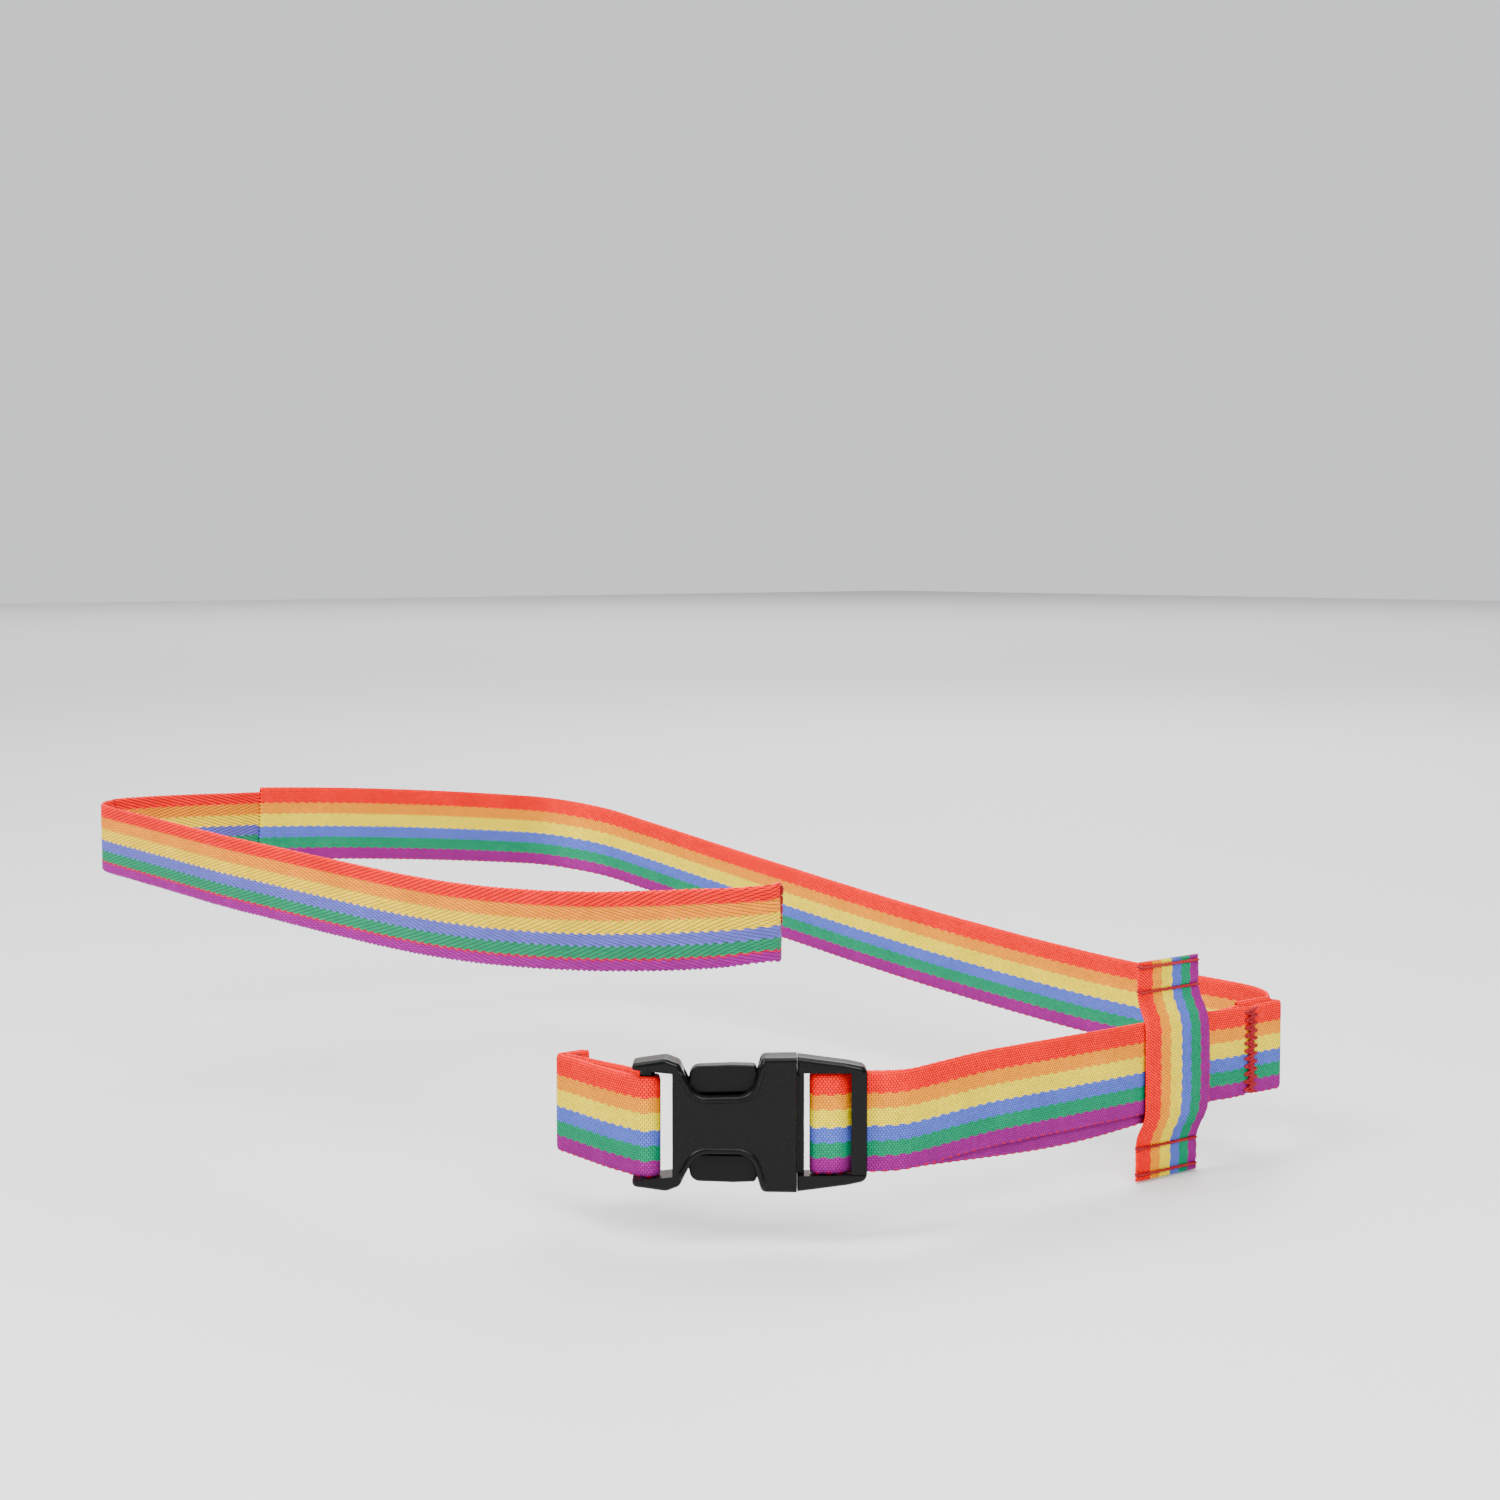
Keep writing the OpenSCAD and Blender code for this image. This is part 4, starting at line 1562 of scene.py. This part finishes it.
@dataclass
class Buckle:
    """The side-release buckle: socket, plug frame and the plug's two sprung arms."""

    layout: StrapLayout
    body_look: bpy.types.Material
    arm_look: bpy.types.Material
    half: float = 28.9
    shoulder: float = 16.8
    socket_half_t: float = 4.5
    plug_half_t: float = 3.5
    cavity_half_t: float = 2.6
    collar_half: float = 12.6
    slot_half: float = 12.75
    parting: float = 11.6
    collar: float = 2.9
    frame_start: float = 11.72
    window: tuple[float, float] = (13.4, 25.0)
    bar_along: float = -25.2
    bar_r: float = 1.9
    wall: tuple[float, float] = (-19.0, -16.2)
    pivot: tuple[float, float] = (8.4, 10.6)
    arm_half_t: float = 2.2
    middle_bar: tuple[float, float, float] = (17.25, 20.35, 1.2)
    root_r: float = 1.5
    root_gap: float = 0.15
    arc_step: float = 8

    def settle(
        self, part: bpy.types.Object, body: str, node: str, look: bpy.types.Material
    ) -> bpy.types.Object:
        close_up(part)
        x, y = self.layout.buckle_mid
        turn = Matrix.Rotation(math.radians(self.layout.buckle_turn), 4, "Z")
        part.data.transform(Matrix.Translation((x * MM, y * MM, self.layout.buckle_z * MM)) @ turn)
        pick(part)
        bpy.ops.object.shade_smooth_by_angle(angle=math.radians(34))
        apply_modifier(part, "WEIGHTED_NORMAL", keep_sharp=True, weight=100)
        return declare(part, body, [node], look)

    def recess(self) -> list[Corner]:
        """Corners of the socket's upper recess, from the collar to the horn."""
        return [
            (self.collar, self.shoulder - 0.1, 1.6),
            (0.2, 7.4, 4.5),
            (-13.4, 7.2, 5),
            (-17.2, 15.2, 2.2),
        ]

    def lip(self) -> np.ndarray:
        """Line of the raised lip that runs round the upper recess."""
        corners = (
            (self.collar + 1.2, self.shoulder - 1.0),
            (self.collar + 0.6, self.shoulder - 1.6, 0.3),
            (0.9, 6.4, 5.2),
            (-13.6, 6.2, 5.6),
            (-17.6, 13.6),
        )
        return rounded(corners, self.arc_step)

    def socket(self) -> bpy.types.Object:
        """Moulds the socket: collar, two recesses with raised lips, horns and the webbing bar."""
        horn = self.slot_half
        corners = [
            (self.parting, 0),
            (self.parting, self.shoulder),
            *self.recess(),
            (-20.5, 16.5, 3),
            (-self.half, 15.3, 1.25),
            (-self.half, 0),
        ]
        outline = full_outline(rounded(corners, self.arc_step))
        part = plate("socket_moulding", outline, self.socket_half_t, 1.2, self.parting)
        reach = self.socket_half_t + 1
        cut(part, (-self.half - 1, -reach, -horn), (self.wall[0], reach, horn), 1.2)
        combine(part, rod((self.bar_along, 0, 0), self.bar_r, 2 * horn + 1, "Z"), "UNION")
        for side in (-1, 1):
            for level in (-1, 1):
                rim = bead(self.lip() * (1, side), level * (self.socket_half_t - 0.42), 0.86)
                combine(part, rim, "UNION")
        cavity = self.cavity_half_t
        cut(part, (self.collar - 1, -cavity, -self.collar_half), (self.parting + 1, cavity, self.collar_half))
        cut(part, (self.wall[1], -cavity, -self.shoulder - 1), (self.collar, cavity, self.shoulder + 1))
        return self.settle(part, "strap", "socket", self.body_look)

    def plug(self) -> bpy.types.Object:
        """Moulds the plug: rails, end bar, adjuster bar, bridge and centre tongue."""
        corners = [
            (self.frame_start, 0),
            (self.frame_start, self.shoulder),
            (24, 15.2, 12),
            (self.half, 14.2, 2.2),
            (self.half, 0),
        ]
        outline = full_outline(rounded(corners, self.arc_step))
        part = plate("plug_moulding", outline, self.plug_half_t, 1.25, self.frame_start)
        reach, slot = self.plug_half_t + 1, self.slot_half
        start, end = self.window
        cut(part, (start, -reach, -slot), (end, reach, slot))
        cut(part, (end - 1, -0.3, -slot), (end + 9, reach, slot))
        cut(part, (end - 1, -reach, -slot), (end + 9, -self.plug_half_t + 0.6, slot))
        cut(part, (self.frame_start - 1, -reach, -slot), (start + 0.5, -1.2, slot))
        combine(part, self.tongue(), "UNION")
        bar_start, bar_end, bar_r = self.middle_bar
        for along in (bar_start, bar_end):
            combine(part, rod((along, 0, 0), bar_r, 2 * slot + 1, "Z"), "UNION")
        web = (bar_start, -bar_r, -slot - 0.5), (bar_end, bar_r, slot + 0.5)
        combine(part, block(*web), "UNION")
        return self.settle(part, "plug", "plug_frame", self.body_look)

    def tongue(self) -> bpy.types.Object:
        """Moulds the plug's front bridge and centre tongue, with a seat for each arm's root."""
        pivot_u, pivot_z = self.pivot
        wide, back = self.collar_half - 0.2, self.frame_start + 0.5
        corners = (
            (back, 0),
            (back, wide),
            (pivot_u - 2, wide, 0.6),
            (pivot_u - 2, 4, 1.2),
            (-9, 4, 0),
            (-13, 4, 3.9),
            (-13, 0),
        )
        made = plate("tongue", full_outline(rounded(corners, 10)), self.arm_half_t, 0.35, back)
        for side in (-1, 1):
            z = side * pivot_z
            combine(made, rod((pivot_u, 0, z), self.root_r + self.root_gap, 8, "Y"), "DIFFERENCE")
            cut(made, (pivot_u - 2.6, -4, z - 2.1), (pivot_u, 4, z + 2.1))
        return made

    def arm(self, side: int, name: str) -> bpy.types.Object:
        """Moulds one arm: round root, slim neck, and the grained button that fills the recess."""
        pivot_u, pivot_z = self.pivot
        corners = (
            (pivot_u, pivot_z - 1.1),
            (pivot_u, pivot_z + 1.1),
            (self.collar + 1, pivot_z + 1.4, 2),
            (self.collar - 0.9, pivot_z + 2, 0.9),
            (self.collar - 1.5, 14.5, 0.95),
            (-4, 14.7, 20),
            (-14.4, 14.3, 2.5),
            (-15.4, 9.0, 1.6),
            (-13.2, 7.4, 2),
            (0, 7.7, 3),
            (4, pivot_z - 1.1, 3),
            (pivot_u, pivot_z - 1.1),
        )
        outline = rounded(corners, self.arc_step)[:-1] * (1, side)
        part = plate(f"{name}_moulding", outline, self.arm_half_t, 0.62)
        root = rod((pivot_u, 0, side * pivot_z), self.root_r, 2 * self.arm_half_t, "Y", 0.3)
        combine(part, root, "UNION")
        return self.settle(part, name, name, self.arm_look)

    def build(self) -> None:
        """Makes the four mouldings."""
        self.socket()
        self.plug()
        self.arm(1, "upper_arm")
        self.arm(-1, "lower_arm")


# ---------------------------------------------------------------- studio


@dataclass
class Studio:
    """A plain pale floor, soft light from above, and the camera."""

    camera_at: Point = (0.6418, -0.5283, 0.140)
    camera_turn: Point = (85.77, 0.0, 48.4)
    focal_mm: float = 66.1
    floor_drop: float = 0.0004
    floor_size: float = 14
    floor_colour: Rgba = (0.74, 0.74, 0.75, 1)
    sky_colour: Rgba = (0.80, 0.81, 0.83, 1)
    sky_strength: tuple[float, float] = (0.28, 1.15)
    middle: Point = (0.08, -0.05, 0.01)
    background: Point = (-3.5, 3.1, 0.0)

    def camera(self) -> None:
        """Sets the camera up."""
        turn = [math.radians(angle) for angle in self.camera_turn]
        made = added(bpy.ops.object.camera_add, location=self.camera_at, rotation=turn)
        made.data.lens = self.focal_mm
        made.data.clip_start = 0.01
        bpy.context.scene.camera = made

    def floor(self) -> None:
        """Lays the floor just under the strap."""
        lowest = CAD_BOUNDS[0].z - self.floor_drop
        made = added(bpy.ops.mesh.primitive_plane_add, size=self.floor_size, location=(0, 0, lowest))
        made.name = "studio_floor"
        material, tree, shader = new_material("studio_paper")
        normal = tree.bump(tree.noise(900.0, 3.0), 0.08, 0.2 * MM)
        tree.fill(shader, {"Base Color": self.floor_colour, "Roughness": 0.7, "Normal": normal})
        made.data.materials.append(material)

    def light(self, place: Point, aim: Point, size: float, watts: float) -> None:
        """Hangs one soft square light and aims it."""
        made = added(bpy.ops.object.light_add, type="AREA", location=place)
        made.data.size = size
        made.data.energy = watts
        made.rotation_euler = (Vector(aim) - Vector(place)).to_track_quat("-Z", "Y").to_euler()

    def world(self) -> None:
        """Sets a pale surround that is brighter behind the strap than in front of it."""
        world = bpy.data.worlds.new("studio_surround")
        world.use_nodes = True
        tree = Tree(world.node_tree)
        sky = world.node_tree.nodes["Background"]
        way = tree.node("ShaderNodeSeparateXYZ", {0: tree.node("ShaderNodeTexCoord").outputs["Generated"]})
        to_back = tree.math("MULTIPLY", way.outputs[1], 0.66)
        to_right = tree.math("MULTIPLY", way.outputs[0], 0.75)
        behind = tree.math("SUBTRACT", to_back, to_right)
        tree.fill(sky, {0: self.sky_colour, 1: tree.map(behind, -0.1, 0.75, *self.sky_strength, SMOOTH)})
        bpy.context.scene.world = world

    def build(self) -> None:
        """Sets the whole studio up."""
        self.camera()
        self.floor()
        self.world()
        self.light((0.2, -0.3, 1.4), self.middle, 1.0, 22)
        self.light((-0.1, -1.1, 1.15), self.middle, 0.7, 26)
        self.light((1.25, -0.45, 1.05), self.middle, 0.7, 25)
        self.light((-0.9, 1.3, 1.3), (-0.5, 0.9, 0.0), 0.9, 22)
        self.light((-3.5, 3.1, 3.0), self.background, 5.0, 230)


def main() -> None:
    """Builds the studio, the finishes and every sub-assembly in order."""
    logging.basicConfig(level=logging.INFO, format="%(name)s %(message)s")
    Studio().build()
    layout = StrapLayout()
    groups = {"yarns": yarn_group(), "grain": grain_group(), "tone": slow_tone_group()}
    belt_cloth = BELT_FINISH.material(groups)
    band_cloth = BAND_FINISH.material(groups)
    crimson = ThreadFinish().material()
    body_black = PlasticFinish("moulded_black", grain=0.28, depth=0.03, roughness=0.26).material(groups)
    arm_black = PlasticFinish("grained_black", grain=0.42, depth=0.07, roughness=0.34).material(groups)
    FrontBand(layout, band_cloth, crimson).build()
    Buckle(layout, body_black, arm_black).build()
    Belt(layout, belt_cloth, crimson).build()
    Keeper(layout, belt_cloth, crimson).build()
    AnchorTab(layout, belt_cloth, crimson).build()


if __name__ == "__main__":
    main()
